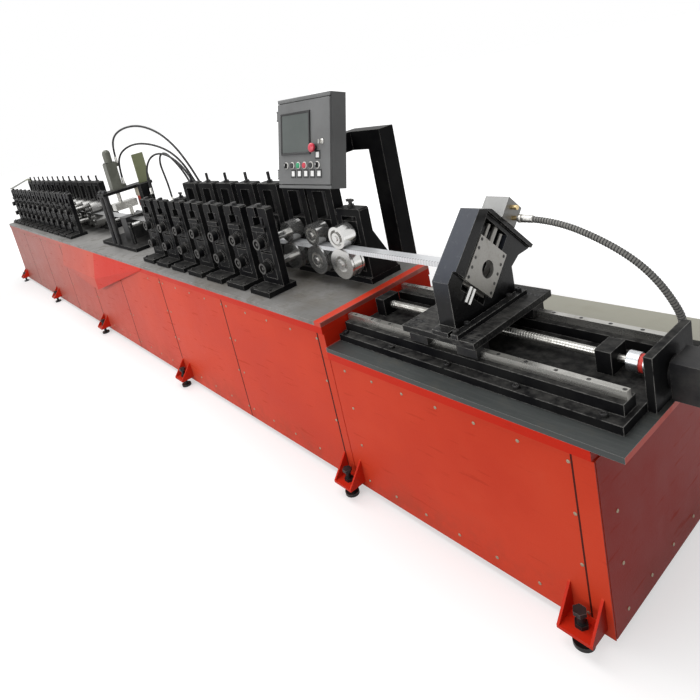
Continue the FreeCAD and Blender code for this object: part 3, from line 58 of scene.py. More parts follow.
class Maths:
    """A shader socket in an expression, or the tree itself when it has no socket."""

    def __init__(self, tree, socket=None):
        self.tree = tree
        self.socket = socket

    def node(self, kind, settings=None, inputs=None, output=0):
        made = self.tree.nodes.new(kind)
        for name, value in (settings or {}).items():
            setattr(made, name, value)
        for name, value in (inputs or {}).items():
            if isinstance(value, Maths):
                self.tree.links.new(value.socket, made.inputs[name])
            else:
                made.inputs[name].default_value = value
        return Maths(self.tree, made.outputs[output])

    def combine(self, operation, first, second):
        return self.node("ShaderNodeMath", {"operation": operation}, {0: first, 1: second})

    def __add__(self, other):
        return self.combine("ADD", self, other)

    def __sub__(self, other):
        return self.combine("SUBTRACT", self, other)

    def __rsub__(self, other):
        return self.combine("SUBTRACT", other, self)

    def __mul__(self, other):
        return self.combine("MULTIPLY", self, other)

    def clamp(self):
        return self.node("ShaderNodeClamp", None, {"Value": self})

    def band(self, low, high):
        """0 below low and 1 above high, smooth between."""
        return self.node("ShaderNodeMapRange", {"interpolation_type": "SMOOTHSTEP"},
                         {"Value": self, "From Min": low, "From Max": high})

    def tint(self, under, over):
        """This value mixes from one colour to another."""
        factor, first, second = 0, 6, 7
        return self.node("ShaderNodeMix", {"data_type": "RGBA"},
                         {factor: self, first: under, second: over}, 2)


def new_finish(name, metallic=0.0, coat=0.0, shine=0.5):
    """A material with its node tree, its shader and the place on the object."""
    finish = bpy.data.materials.new(name)
    finish.use_nodes = True
    shader = finish.node_tree.nodes["Principled BSDF"]
    shader.inputs["Metallic"].default_value = metallic
    shader.inputs["Coat Weight"].default_value = coat
    shader.inputs["Specular IOR Level"].default_value = shine
    tree = Maths(finish.node_tree)
    place = tree.node("ShaderNodeTexCoord", None, None, "Object")
    return finish, tree, shader, place


def feed(shader, socket, value):
    """Links a value to a socket of the shader."""
    value.tree.links.new(value.socket, shader.inputs[socket])


def mottle(tree, place, scale, detail=3.0, rough=0.55, stretch=(1, 1, 1)):
    """Cloudy variation at a scale, from 0 to 1, stretched along the axes."""
    stretched = tree.node("ShaderNodeVectorMath", {"operation": "MULTIPLY"},
                          {0: place, 1: stretch})
    return tree.node("ShaderNodeTexNoise", None,
                     {"Vector": stretched, "Scale": scale, "Detail": detail,
                      "Roughness": rough})


def along(tree, place, axis):
    """One of the three numbers of a place or a direction."""
    return tree.node("ShaderNodeSeparateXYZ", None, {"Vector": place}, axis)


def edge_mask(tree, radius):
    """1 on outer and inner edges, 0 on the flats, from rounded against flat normals."""
    soft = tree.node("ShaderNodeBevel", {"samples": 4}, {"Radius": radius})
    flat = tree.node("ShaderNodeNewGeometry", None, None, "Normal")
    same = tree.node("ShaderNodeVectorMath", {"operation": "DOT_PRODUCT"},
                     {0: soft, 1: flat}, "Value")
    return (1.0 - same).band(0.02, 0.16)


def roughen(tree, shader, height, distance):
    bump = tree.node("ShaderNodeBump", None,
                     {"Height": height, "Strength": 0.6, "Distance": distance})
    feed(shader, "Normal", bump)


def dress(finish, *names):
    """Gives the named CAD pieces a finish."""
    for name in names:
        parts[name].data.materials.clear()
        parts[name].data.materials.append(finish)


red_enamel, tree, shader, place = new_finish("red_enamel", shine=0.08)
normal = tree.node("ShaderNodeNewGeometry", None, None, "Normal")
cloud = mottle(tree, place, 1.7, 4.0)
dust = mottle(tree, place, 7.0, 6.0, 0.7)
scuff = mottle(tree, place, 26.0, 3.0, 0.5, (0.25, 0.25, 2.5)).band(0.63, 0.72)
grime = (1.0 - along(tree, place, "Z").band(0.03, 0.26)) * dust.band(0.35, 0.75)
worn = edge_mask(tree, 0.003) * dust.band(0.40, 0.70)
# Painted shade: faces toward the exit, and the proud near faces from x = -3.13 on, are made a
# deeper red.
to_exit = along(tree, normal, "X").band(0.04, 0.10)
proud = 1.0 - along(tree, place, "Y").band(0.0400, 0.0440)
painted_shade_faces = (to_exit + proud * along(tree, place, "X").band(-3.135, -3.125)).clamp()
# Painted shade: the exit end face is made a darker maroon.
painted_shade_end = along(tree, normal, "X").band(0.90, 0.95) * along(tree, place, "X").band(1.0, 1.1)
# Painted sheen: the faces not painted as shade are made paler and greyer towards the entry
# end.
pale = (1.0 - along(tree, place, "X").band(-6.2, -1.2)) * (1.0 - painted_shade_faces)
colour = cloud.band(0.3, 0.7).tint((0.55, 0.042, 0.016, 1), (0.62, 0.056, 0.022, 1))
colour = (dust.band(0.45, 0.95) * 0.15).tint(colour, (0.56, 0.12, 0.07, 1))
colour = (pale * 0.60).tint(colour, (0.29, 0.17, 0.145, 1))
colour = (painted_shade_faces * 0.7).tint(colour, (0.54, 0.010, 0.002, 1))
colour = (painted_shade_end * 0.70).tint(colour, (0.24, 0.008, 0.004, 1))
colour = (scuff * 0.25).tint(colour, (0.34, 0.022, 0.010, 1))
colour = (worn * 0.35).tint(colour, (0.66, 0.13, 0.07, 1))
colour = (grime * 0.4).tint(colour, (0.20, 0.045, 0.028, 1))
feed(shader, "Base Color", colour)
feed(shader, "Roughness", dust * 0.22 + scuff * 0.12 + 0.30)
roughen(tree, shader, mottle(tree, place, 190.0, 2.0), 0.0008)
dress(red_enamel, "forming_base", "cutting_base", "side_panels", "foot_brackets",
      "side_chute", "punch_guard")

# Panel screws: pan heads with a driver recess, pressed and passivated brown, one row
# along each edge of every sheet panel. They hold it to the welded cabinet.

HEAD = 0.0062
SHEETS = 8
SHEET_STEP = 0.85425
FLANGE = 0.006
(entry_end, near_face, _), (exit_face, cutting_far, _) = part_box("side_panels")
forming_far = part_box("forming_base")[1][1] - FLANGE
chute_low, chute_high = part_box("side_chute")


def turned(name, radius, steps, sides=24, soft=0.0):
    """A piece raised from a round face: each step lifts the last face to a new radius."""
    bpy.ops.object.select_all(action="DESELECT")
    bpy.ops.mesh.primitive_circle_add(vertices=sides, radius=radius, fill_type="NGON")
    piece = bpy.context.object
    piece.name = name
    bpy.ops.object.mode_set(mode="EDIT")
    bpy.ops.mesh.select_all(action="SELECT")
    for lift, reach in steps:
        bpy.ops.mesh.extrude_region_move(TRANSFORM_OT_translate={"value": (0, 0, lift)})
        if reach != radius:
            bpy.ops.transform.resize(value=(reach / radius, reach / radius, 1))
        radius = reach
    bpy.ops.mesh.select_all(action="SELECT")
    bpy.ops.mesh.normals_make_consistent(inside=False)
    bpy.ops.object.mode_set(mode="OBJECT")
    return soften(piece, soft)


def soften(piece, width):
    """Rounds the sharp edges and shades the piece smooth between them."""
    if width:
        edge = piece.modifiers.new("edge", "BEVEL")
        edge.width = width
        edge.segments = 2
        edge.limit_method = "ANGLE"
        edge.angle_limit = 0.6
        bpy.ops.object.select_all(action="DESELECT")
        piece.select_set(True)
        bpy.context.view_layer.objects.active = piece
        bpy.ops.object.modifier_apply(modifier="edge")
        bpy.ops.object.shade_smooth_by_angle(angle=0.7)
    return piece


def spread(piece, places):
    """The piece copied to each place, each copy with its own mesh, then joined."""
    name = piece.name
    bpy.ops.object.select_all(action="DESELECT")
    for place in places:
        twin = bpy.data.objects.new("copy", piece.data.copy())
        twin.data.transform(place)
        bpy.context.scene.collection.objects.link(twin)
        twin.select_set(True)
        bpy.context.view_layer.objects.active = twin
    bpy.data.objects.remove(piece)
    if len(places) > 1:
        bpy.ops.object.join()
    made = bpy.context.view_layer.objects.active
    made.name = name
    return made


def fasten(piece, finish, body):
    """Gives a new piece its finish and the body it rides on."""
    piece.data.materials.clear()
    piece.data.materials.append(finish)
    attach(piece, body)


def facing(x, y, z, toward):
    """A place whose own Z axis points along one of the machine's axes."""
    turns = {"near": (90, "X"), "far": (-90, "X"), "exit": (90, "Y"), "up": (0, "X")}
    angle, axis = turns[toward]
    return Matrix.Translation((x, y, z)) @ Matrix.Rotation(math.radians(angle), 4, axis)


def round_sheet(columns, rows):
    """Screw places round a sheet: all rows at its outer columns, the outer rows between."""
    return [(column, row) for column in columns
            for row in (rows if column in (columns[0], columns[-1]) else (rows[0], rows[-1]))]


brown_zinc, tree, shader, place = new_finish("brown_zinc", metallic=0.8)
rub = mottle(tree, place, 300.0, 3.0)
feed(shader, "Base Color", rub.tint((0.16, 0.12, 0.08, 1), (0.46, 0.37, 0.27, 1)))
feed(shader, "Roughness", rub * 0.2 + 0.3)

pan_head = [(0.0010, HEAD), (0.0014, 0.0050), (0.0006, 0.0024), (-0.0011, 0.0016)]
screw = turned("panel_screws", HEAD, pan_head, sides=12)
spots = []
for number in range(SHEETS):
    left = entry_end + number * SHEET_STEP
    for x, z in round_sheet((0.045, 0.245, 0.445, 0.645, 0.842), (0.095, 0.331, 0.533, 0.742)):
        spots.append(facing(left + x, forming_far, z, "far"))
        beside_chute = chute_low[0] - 0.01 < left + x < chute_high[0] + 0.01
        if z < chute_low[2] or not beside_chute:
            spots.append(facing(left + x, near_face, z, "near"))
for x, z in round_sheet([0.090 + 0.160 * n for n in range(7)], (0.080, 0.262, 0.446, 0.626)):
    spots += [facing(x, near_face, z, "near"), facing(x, cutting_far, z, "far")]
for y, z in round_sheet((0.133, 0.292, 0.451, 0.611, 0.770), (0.080, 0.251, 0.437, 0.620)):
    spots.append(facing(exit_face, y, z, "exit"))
fasten(spread(screw, spots), brown_zinc, "base")

# Seams: the folded lips where two sheet panels meet. Each is a narrow upright gap, whose
# shade is painted on a dark strip that stands a little proud of the sheets.

SEAM_PROUD = 0.0003


def slab(name, wide, high, thick, soft=0.0, hollow=0.0, sunk=0.0):
    """A plate that lies at the origin, its face drawn in and sunk where it is framed."""
    bpy.ops.object.select_all(action="DESELECT")
    bpy.ops.mesh.primitive_plane_add(size=1)
    piece = bpy.context.object
    piece.name = name
    bpy.ops.object.mode_set(mode="EDIT")
    bpy.ops.mesh.select_all(action="SELECT")
    bpy.ops.transform.resize(value=(wide, high, 1))
    bpy.ops.mesh.extrude_region_move(TRANSFORM_OT_translate={"value": (0, 0, thick)})
    if hollow:
        bpy.ops.mesh.inset(thickness=hollow)
        bpy.ops.mesh.extrude_region_move(TRANSFORM_OT_translate={"value": (0, 0, -sunk)})
    bpy.ops.mesh.select_all(action="SELECT")
    bpy.ops.mesh.normals_make_consistent(inside=False)
    bpy.ops.object.mode_set(mode="OBJECT")
    return soften(piece, soft)


# Painted shade: the dark colour of the seam strips stands for the shade in the gaps.
gap_shade_finish, tree, shader, place = new_finish("seam_gap_shade", shine=0.1)
rub = mottle(tree, place, 30.0, 3.0)
feed(shader, "Base Color", rub.tint((0.045, 0.006, 0.004, 1), (0.075, 0.012, 0.008, 1)))
feed(shader, "Roughness", rub * 0.2 + 0.5)
seam = slab("forming_seams", wide=0.009, high=0.742, thick=SEAM_PROUD)
spots = [facing(entry_end - 0.002 + SHEET_STEP * number, y, 0.401, toward)
         for number in range(1, SHEETS + 1)
         for y, toward in ((near_face, "near"), (forming_far, "far"))]
fasten(spread(seam, spots), gap_shade_finish, "base")
seam = slab("cutting_seams", wide=0.006, high=0.626, thick=SEAM_PROUD)
spots = [facing(1.060, y, 0.343, toward)
         for y, toward in ((near_face, "near"), (cutting_far, "far"))]
fasten(spread(seam, spots), gap_shade_finish, "base")

# Table plates: thick steel, ground flat and dulled by filings, with brown patches of old
# oil. The one under the cutter is darker, but paler behind the slide bed. The edges that
# face the exit are painted like the bases.

table_steel, tree, shader, place = new_finish("table_steel", shine=0.3)
cloud = mottle(tree, place, 2.3, 5.0, 0.6)
stain = mottle(tree, place, 9.0, 5.0, 0.65).band(0.48, 0.72)
grain = mottle(tree, place, 60.0, 4.0, 0.6, (0.12, 3.0, 1.0))
exit_end = along(tree, place, "X").band(-0.01, 0.01)
beyond = along(tree, place, "Y").band(0.655, 0.675) * exit_end
colour = cloud.band(0.3, 0.7).tint((0.165, 0.162, 0.155, 1), (0.235, 0.230, 0.222, 1))
darkened = mottle(tree, place, 3.5, 4.0, 0.6).band(0.42, 0.62)
darkened = darkened * along(tree, place, "X").band(-1.6, -0.7)
colour = (darkened * 0.5).tint(colour, (0.125, 0.105, 0.078, 1))
normal = tree.node("ShaderNodeNewGeometry", None, None, "Normal")
flange = along(tree, place, "X").band(-0.0455, -0.0445) * (1.0 - exit_end)
last_edge = along(tree, place, "X").band(1.10, 1.12) * along(tree, normal, "X").band(0.8, 0.95)
flange = (flange + last_edge).clamp()
colour = exit_end.tint(colour, (0.050, 0.055, 0.054, 1))
colour = beyond.tint(colour, (0.36, 0.35, 0.29, 1))
colour = (stain * (1.0 - beyond) * 0.55).tint(colour, (0.075, 0.066, 0.050, 1))
scored = grain.band(0.45, 0.7) * (0.15 - exit_end * 0.11)
colour = scored.tint(colour, (0.36, 0.35, 0.34, 1))
colour = (edge_mask(tree, 0.002) * 0.5).tint(colour, (0.45, 0.44, 0.42, 1))
colour = flange.tint(colour, (0.55, 0.038, 0.014, 1))
feed(shader, "Base Color", colour)
feed(shader, "Metallic", (1.0 - flange) * 0.35)
feed(shader, "Roughness", stain * 0.15 + cloud * 0.22 + 0.38)
roughen(tree, shader, grain, 0.0006)
dress(table_steel, "table_plates")

# Black castings and plates: the housings, bearing blocks, punch bed and head, slide bed,
# supports, post and cutter frame. Sprayed black over milled steel, rubbed grey along
# the edges by wear and a painted highlight, with a film of dust and oil on top.


def black_finish(name, dust_share, edge_wear_and_highlight, shine):
    """Black paint, greyed on top by dust, and along the edges by wear and a painted highlight.
    """
    finish, tree, shader, place = new_finish(name, shine=shine)
    cloud = mottle(tree, place, 6.0, 4.0, 0.6)
    dust = mottle(tree, place, 28.0, 5.0, 0.7)
    normal = tree.node("ShaderNodeNewGeometry", None, None, "Normal")
    upward = along(tree, normal, "Z").band(0.3, 0.95)
    # The grey along the edges is wear and a painted highlight.
    worn = edge_mask(tree, 0.0045) * dust.band(0.30, 0.55)
    colour = cloud.band(0.3, 0.7).tint((0.005, 0.005, 0.006, 1), (0.014, 0.014, 0.014, 1))
    dusty = upward * dust.band(0.30, 0.75) * dust_share
    colour = dusty.tint(colour, (0.11, 0.107, 0.10, 1))
    colour = (worn * edge_wear_and_highlight).tint(colour, (0.30, 0.295, 0.28, 1))
    return finish, tree, shader, place, cloud, dust, colour


black_enamel, tree, shader, place, cloud, dust, colour = black_finish(
    "black_enamel", dust_share=0.42, edge_wear_and_highlight=0.72, shine=0.03)
feed(shader, "Base Color", colour)
feed(shader, "Roughness", dust * 0.25 + cloud * 0.15 + 0.22)
roughen(tree, shader, dust + cloud * 0.5, 0.0010)
dress(black_enamel, "housings_near", "housings_far", "punch_bed", "punch_head",
      "roller_stands", "control_post", "slide_bed", "screw_supports")

# Bearing blocks: cast and painted black, with flanged covers whose turned rims are bare
# steel, coloured very dark.

block_enamel, tree, shader, place, cloud, dust, colour = black_finish(
    "block_enamel", dust_share=0.4, edge_wear_and_highlight=0.9, shine=0.04)
rim = 1.0 - along(tree, place, "Y").band(0.1575, 0.1590)
feed(shader, "Base Color", rim.tint(colour, (0.085, 0.083, 0.080, 1)))
feed(shader, "Metallic", rim)
feed(shader, "Roughness", rim * 0.08 + (dust * 0.25 + cloud * 0.15 + 0.24))
dress(block_enamel, "bearing_blocks")

# Blackened steel: screws, jacks, columns, die, motor and slide blocks, chemically blackened
# and oiled, brighter where tools and sliding have touched them.

black_steel, tree, shader, place = new_finish("black_steel", metallic=0.5, shine=0.3)
cloud = mottle(tree, place, 14.0, 5.0, 0.6)
worn = edge_mask(tree, 0.0018) * cloud.band(0.35, 0.6)
colour = cloud.band(0.3, 0.7).tint((0.014, 0.014, 0.016, 1), (0.036, 0.035, 0.034, 1))
colour = (worn * 0.7).tint(colour, (0.30, 0.29, 0.27, 1))
feed(shader, "Base Color", colour)
feed(shader, "Roughness", cloud * 0.30 + 0.26)
roughen(tree, shader, mottle(tree, place, 220.0, 2.0), 0.0004)
dress(black_steel, "jack_bolts", "adjusting_screws", "punch_columns", "punch_die",
      "servo_motor", "slide_blocks")

# Socket screws that hold the housings' soles to the table, in pairs in front of each
# near housing and behind each far one, with clean steel round their heads.

PITCH = 0.243
SOLE_TOP = 0.860
ring_and_head = [(0.0004, 0.0085), (0.008, 0.0085), (0, 0.0045), (-0.005, 0.0040)]
cap_screw = turned("sole_screws", 0.011, ring_and_head, sides=12)
entry_x = [-3.850 - PITCH * number for number in range(13)]
finish_x = [-2.017 + PITCH * number for number in range(7)]
exit_x = [-0.350, -0.165]
spots = [facing(x + side, 0.128, SOLE_TOP, "up")
         for x in entry_x[1:] + finish_x for side in (-0.068, 0.068)]
spots += [facing(x + side, 0.600, SOLE_TOP, "up")
          for x in entry_x + finish_x + exit_x for side in (-0.070, 0.070)]
fasten(spread(cap_screw, spots), black_steel, "base")

# Rolls: turned from tool steel and hard chromed, polished to a mirror by the strip, with
# fine turning marks that run round them and a thin film of oil.

chrome, tree, shader, place = new_finish("chrome", metallic=0.9)
ring = tree.node("ShaderNodeTexWave", {"wave_type": "BANDS", "bands_direction": "Y"},
                 {"Vector": place, "Scale": 24.0, "Distortion": 0.4, "Detail": 2.0})
film = mottle(tree, place, 9.0, 3.0, 0.5)
normal = tree.node("ShaderNodeNewGeometry", None, None, "Normal")
sideways = along(tree, normal, "Y")
# Painted shade: the end faces of the rolls are made darker.
painted_shade_end = (sideways * sideways).band(0.6, 0.9)
# Darker towards the entry end.
darkened = 1.0 - along(tree, place, "X").band(-3.2, -2.6)
colour = film.tint((0.62, 0.615, 0.60, 1), (0.78, 0.775, 0.76, 1))
colour = (painted_shade_end * 0.30).tint(colour, (0.15, 0.145, 0.135, 1))
colour = (darkened * 0.65).tint(colour, (0.13, 0.127, 0.12, 1))
feed(shader, "Base Color", colour)
feed(shader, "Roughness", film * 0.10 + ring * 0.05 + 0.11)
dress(chrome, "fixed_rolls", "guide_roller_a", "guide_roller_b", "guide_pins",
      *[name for name in parts if name.startswith("roll_")])

# Strip: thin galvanised steel, bright, with the faint spangle of the zinc and a row of
# rolled dimples along its near side, drawn as painted shade.

zinc, tree, shader, place = new_finish("zinc_coat", metallic=0.5)
spangle = tree.node("ShaderNodeTexVoronoi", None, {"Vector": place, "Scale": 130.0}, "Color")
spangle = tree.node("ShaderNodeSeparateColor", None, {"Color": spangle}, 0)
streak = mottle(tree, place, 14.0, 3.0, 0.5, (0.08, 2.0, 2.0))
colour = (spangle * 0.15 + streak * 0.6).tint((0.60, 0.61, 0.63, 1), (0.84, 0.85, 0.86, 1))
# Painted shade: dark marks in a row stand for the hollows of the dimples.
dimple_shade = tree.node("ShaderNodeTexWave", {"wave_type": "BANDS", "bands_direction": "X"},
                    {"Vector": place, "Scale": 22.0})
row = along(tree, place, "Y").band(0.3630, 0.3660)
row = row * (1.0 - along(tree, place, "Y").band(0.3710, 0.3740))
colour = (dimple_shade.band(0.35, 0.65) * row * 0.7).tint(colour, (0.16, 0.16, 0.165, 1))
# Darker towards the entry end.
darkened = 1.0 - along(tree, place, "X").band(-2.2, -1.8)
colour = (darkened * 0.7).tint(colour, (0.14, 0.138, 0.13, 1))
feed(shader, "Base Color", colour)
feed(shader, "Roughness", spangle * 0.05 + 0.36)
dress(zinc, "formed_strip")

# Tool steel: the nut of the ball screw, the die plate and the blade, bright and bare, with
# grinding lines and a trace of rust-brown oil.

tool_steel, tree, shader, place = new_finish("tool_steel", metallic=0.6)
lines = mottle(tree, place, 90.0, 3.0, 0.5, (0.1, 2.0, 2.0))
stain = mottle(tree, place, 18.0, 5.0, 0.65).band(0.52, 0.75)
colour = lines.tint((0.25, 0.24, 0.22, 1), (0.36, 0.35, 0.33, 1))
colour = (stain * 0.35).tint(colour, (0.14, 0.115, 0.085, 1))
colour = (edge_mask(tree, 0.0015) * 0.6).tint(colour, (0.60, 0.58, 0.56, 1))
feed(shader, "Base Color", colour)
feed(shader, "Roughness", stain * 0.2 + lines * 0.12 + 0.28)
roughen(tree, shader, lines, 0.0004)
dress(tool_steel, "screw_nut", "die_plate", "cutter_blade")

# Linear rails, ball screw and punch ram: hardened and ground bright, under a film of
# grease. The thread is wound on the screw's shaft.

rail_steel, tree, shader, place = new_finish("rail_steel", metallic=0.9)
lines = mottle(tree, place, 50.0, 3.0, 0.5, (0.1, 2.0, 2.0))
grease = mottle(tree, place, 12.0, 4.0, 0.6).band(0.45, 0.7)
colour = lines.tint((0.40, 0.395, 0.37, 1), (0.56, 0.55, 0.52, 1))
colour = (grease * 0.4).tint(colour, (0.12, 0.11, 0.09, 1))
feed(shader, "Base Color", colour)
feed(shader, "Roughness", grease * 0.15 + lines * 0.10 + 0.20)
dress(rail_steel, "guide_rails", "ball_screw", "punch_ram")


def drawn(name, points, thickness, smooth=True):
    """A round rod whose centreline runs through the points."""
    line = bpy.data.curves.new(name, "CURVE")
    line.dimensions = "3D"
    spline = line.splines.new("NURBS" if smooth else "POLY")
    spline.points.add(len(points) - 1)
    for point, spot in zip(spline.points, points):
        point.co = (*spot, 1)
    if smooth:
        spline.order_u = 3
        spline.use_endpoint_u = True
        spline.resolution_u = 10
    line.bevel_depth = thickness / 2
    line.bevel_resolution = 3 if smooth else 1
    line.use_fill_caps = True
    rod = bpy.data.objects.new(name, line)
    bpy.context.scene.collection.objects.link(rod)
    return rod


def length_of(points):
    return sum((after - before).length for before, after in zip(points, points[1:]))


def wound(points, reach, pitch, per_turn=10):
    """A helix round a line, from points along it."""
    total = length_of(points)
    count = int(total / pitch * per_turn)
    side = Vector((0, 1, 0))
    coil = []
    index, passed = 0, 0.0
    for number in range(count + 1):
        wanted = total * number / count
        while (index < len(points) - 2
               and passed + (points[index + 1] - points[index]).length < wanted):
            passed += (points[index + 1] - points[index]).length
            index += 1
        run = (points[index + 1] - points[index]).normalized()
        middle = points[index] + run * (wanted - passed)
        across = (side - run * side.dot(run)).normalized()
        up = run.cross(across)
        angle = 2 * math.pi * number / per_turn
        coil.append(middle + (across * math.cos(angle) + up * math.sin(angle)) * reach)
    return coil


SCREW_Y, SCREW_Z = 0.390, 0.785
shaft = [Vector((x, SCREW_Y, SCREW_Z)) for x in (0.088, 0.975)]
thread = drawn("screw_thread", wound(shaft, reach=0.0152, pitch=0.010, per_turn=12),
               thickness=0.0042, smooth=False)
fasten(thread, rail_steel, "screw")

# Punch cylinder, the plate beside it and the entry cover: steel sprayed with grey-green
# enamel, greener on the plate and rubbed pale along the edges.

olive_enamel, tree, shader, place = new_finish("olive_enamel", coat=0.1, shine=0.3)
cloud = mottle(tree, place, 12.0, 4.0, 0.6)
beside = along(tree, place, "Y").band(0.40, 0.42)
colour = cloud.band(0.3, 0.7).tint((0.085, 0.088, 0.070, 1), (0.125, 0.128, 0.105, 1))
colour = beside.tint(colour, (0.19, 0.205, 0.115, 1))
worn = edge_mask(tree, 0.002) * cloud.band(0.4, 0.6)
colour = (worn * 0.5).tint(colour, (0.36, 0.35, 0.30, 1))
feed(shader, "Base Color", colour)
feed(shader, "Roughness", cloud * 0.25 + 0.32)
roughen(tree, shader, mottle(tree, place, 160.0, 2.0), 0.0008)
dress(olive_enamel, "punch_cylinder", "punch_back_plate", "entry_cover")

# Column nuts and tie screws of the punch: hexagons on the four columns over the head
# plate, and four cap screws in the corners of the cylinder.

PUNCH_X, PUNCH_Y = -2.870, 0.390
CYLINDER_Y, CYLINDER_TOP = 0.320, 1.525
HEAD_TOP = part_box("punch_head")[1][2]
nut_and_stud = [(0.003, 0.024), (0.015, 0.024), (0, 0.013), (0.006, 0.012)]
nut = turned("column_nuts", 0.024, nut_and_stud, sides=6, soft=0.0012)
spots = [facing(PUNCH_X + x, PUNCH_Y + y, HEAD_TOP, "up")
         for x in (-0.050, 0.050) for y in (-0.195, 0.195)]
fasten(spread(nut, spots), black_steel, "base")
tie = turned("cylinder_screws", 0.0075, [(0.007, 0.0075), (0, 0.004), (-0.004, 0.0036)],
             sides=12)
spots = [facing(PUNCH_X + x, CYLINDER_Y + y, CYLINDER_TOP, "up")
         for x in (-0.032, 0.032) for y in (-0.032, 0.032)]
fasten(spread(tie, spots), black_steel, "base")

# Valve block of the punch and the manifold that its hoses end in: cream enamel, handled
# and a little dirty.

cream_enamel, tree, shader, place = new_finish("cream_enamel", shine=0.3)
cloud = mottle(tree, place, 30.0, 4.0, 0.6)
colour = cloud.band(0.35, 0.7).tint((0.46, 0.41, 0.30, 1), (0.56, 0.51, 0.40, 1))
colour = (edge_mask(tree, 0.002) * 0.4).tint(colour, (0.70, 0.66, 0.56, 1))
feed(shader, "Base Color", colour)
feed(shader, "Roughness", cloud * 0.2 + 0.38)
roughen(tree, shader, cloud, 0.0005)
dress(cream_enamel, "punch_valve_block")

# Hoses of the punch: braided rubber, stiff enough to stand in long bends from their
# crimped steel ferrules over the table and down to the manifold.

HOSE = 0.016
rubber, tree, shader, place = new_finish("hose_rubber", shine=0.3)
braid = tree.node("ShaderNodeTexVoronoi", None, {"Vector": place, "Scale": 420.0})
rub = mottle(tree, place, 30.0, 4.0)
colour = rub.band(0.4, 0.7).tint((0.010, 0.010, 0.011, 1), (0.030, 0.029, 0.028, 1))
feed(shader, "Base Color", colour)
feed(shader, "Roughness", rub * 0.25 + 0.38)
roughen(tree, shader, braid, 0.0012)

plated, tree, shader, place = new_finish("plated_steel", metallic=0.95)
film = mottle(tree, place, 120.0, 4.0)
feed(shader, "Base Color", film.tint((0.42, 0.41, 0.39, 1), (0.66, 0.65, 0.62, 1)))
feed(shader, "Roughness", film * 0.2 + 0.22)


def centre_line(hose):
    """Points along the middle of a hose, read from its own spline."""
    bare = hose.data.copy()
    bare.bevel_depth = 0
    holder = bpy.data.objects.new("centre_line", bare)
    bpy.context.scene.collection.objects.link(holder)
    bpy.context.view_layer.update()
    points = [vertex.co.copy() for vertex in bpy.data.meshes.new_from_object(holder).vertices]
    bpy.data.objects.remove(holder)
    return points


crimped = [(0.012, 0.0135), (0, 0.0105), (0.004, 0.0112), (0.010, 0.0112),
           (0.002, 0.0104), (0.010, 0.0112), (0.002, 0.0104), (0.010, 0.0108),
           (0.003, 0.0086)]
routes = {
    "a": [(-2.872, 0.388, 1.508), (-2.872, 0.388, 1.628), (-2.815, 0.402, 1.728),
          (-2.660, 0.440, 1.776), (-2.460, 0.494, 1.772), (-2.270, 0.548, 1.696),
          (-2.130, 0.590, 1.570), (-2.030, 0.618, 1.410), (-1.965, 0.640, 1.250),
          (-1.945, 0.688, 1.095), (-1.945, 0.688, 0.960)],
    "b": [(-2.848, 0.385, 1.330), (-2.848, 0.385, 1.442), (-2.815, 0.392, 1.546),
          (-2.715, 0.420, 1.612), (-2.560, 0.470, 1.638), (-2.390, 0.524, 1.610),
          (-2.230, 0.575, 1.542), (-2.120, 0.612, 1.436), (-2.065, 0.640, 1.290),
          (-2.050, 0.688, 1.130), (-2.050, 0.688, 0.960)],
    "c": [(-2.705, 0.540, 1.195), (-2.705, 0.540, 1.300), (-2.703, 0.556, 1.415),
          (-2.632, 0.582, 1.495), (-2.505, 0.606, 1.522), (-2.355, 0.620, 1.492),
          (-2.225, 0.632, 1.424), (-2.135, 0.642, 1.330), (-2.102, 0.664, 1.210),
          (-2.095, 0.688, 1.090), (-2.095, 0.688, 0.960)],
    "d": [(-2.552, 0.640, 1.090), (-2.552, 0.640, 1.215), (-2.576, 0.640, 1.322),
          (-2.604, 0.640, 1.424), (-2.556, 0.640, 1.500), (-2.440, 0.640, 1.516),
          (-2.310, 0.640, 1.440), (-2.210, 0.642, 1.355), (-2.158, 0.652, 1.250),
          (-2.145, 0.688, 1.120), (-2.145, 0.688, 0.960)],
}
for tag, route in routes.items():
    ferrule = turned("hose_ferrules_" + tag, 0.0135, crimped, sides=18, soft=0.0006)
    ferrule = spread(ferrule, [Matrix.Translation(route[0]), Matrix.Translation(route[-1])])
    fasten(ferrule, plated, "base")
    hose = drawn("punch_hose_line_" + tag, route, HOSE)
    hose.data.materials.append(rubber)
    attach(hose, "base")
    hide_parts("punch_hose_" + tag)
    round(length_of(centre_line(hose)), 3)

# Control box and its door: folded sheet steel, sprayed with a grey enamel that dries to a
# fine orange peel, with a painted highlight along the folds.

grey_enamel, tree, shader, place = new_finish("grey_enamel", shine=0.2)
peel = mottle(tree, place, 420.0, 2.0)
cloud = mottle(tree, place, 5.0, 4.0, 0.6)
colour = cloud.band(0.3, 0.7).tint((0.125, 0.127, 0.127, 1), (0.152, 0.154, 0.154, 1))
# Painted highlight: a little lighter along the folds and edges.
colour = (edge_mask(tree, 0.002) * 0.4).tint(colour, (0.26, 0.26, 0.26, 1))
feed(shader, "Base Color", colour)
feed(shader, "Roughness", cloud * 0.15 + 0.40)
roughen(tree, shader, peel, 0.0008)
dress(grey_enamel, "control_box", "control_door")

# Screen: a display behind dark glass, switched off, with a faint haze of dust and wiped
# marks. It is set in the door.

screen_glass, tree, shader, place = new_finish("screen_glass", shine=0.4)
haze = mottle(tree, place, 8.0, 3.0, 0.6)
colour = haze.tint((0.058, 0.068, 0.065, 1), (0.088, 0.100, 0.094, 1))
feed(shader, "Base Color", colour)
feed(shader, "Roughness", haze * 0.12 + 0.10)
dress(screen_glass, "control_screen")

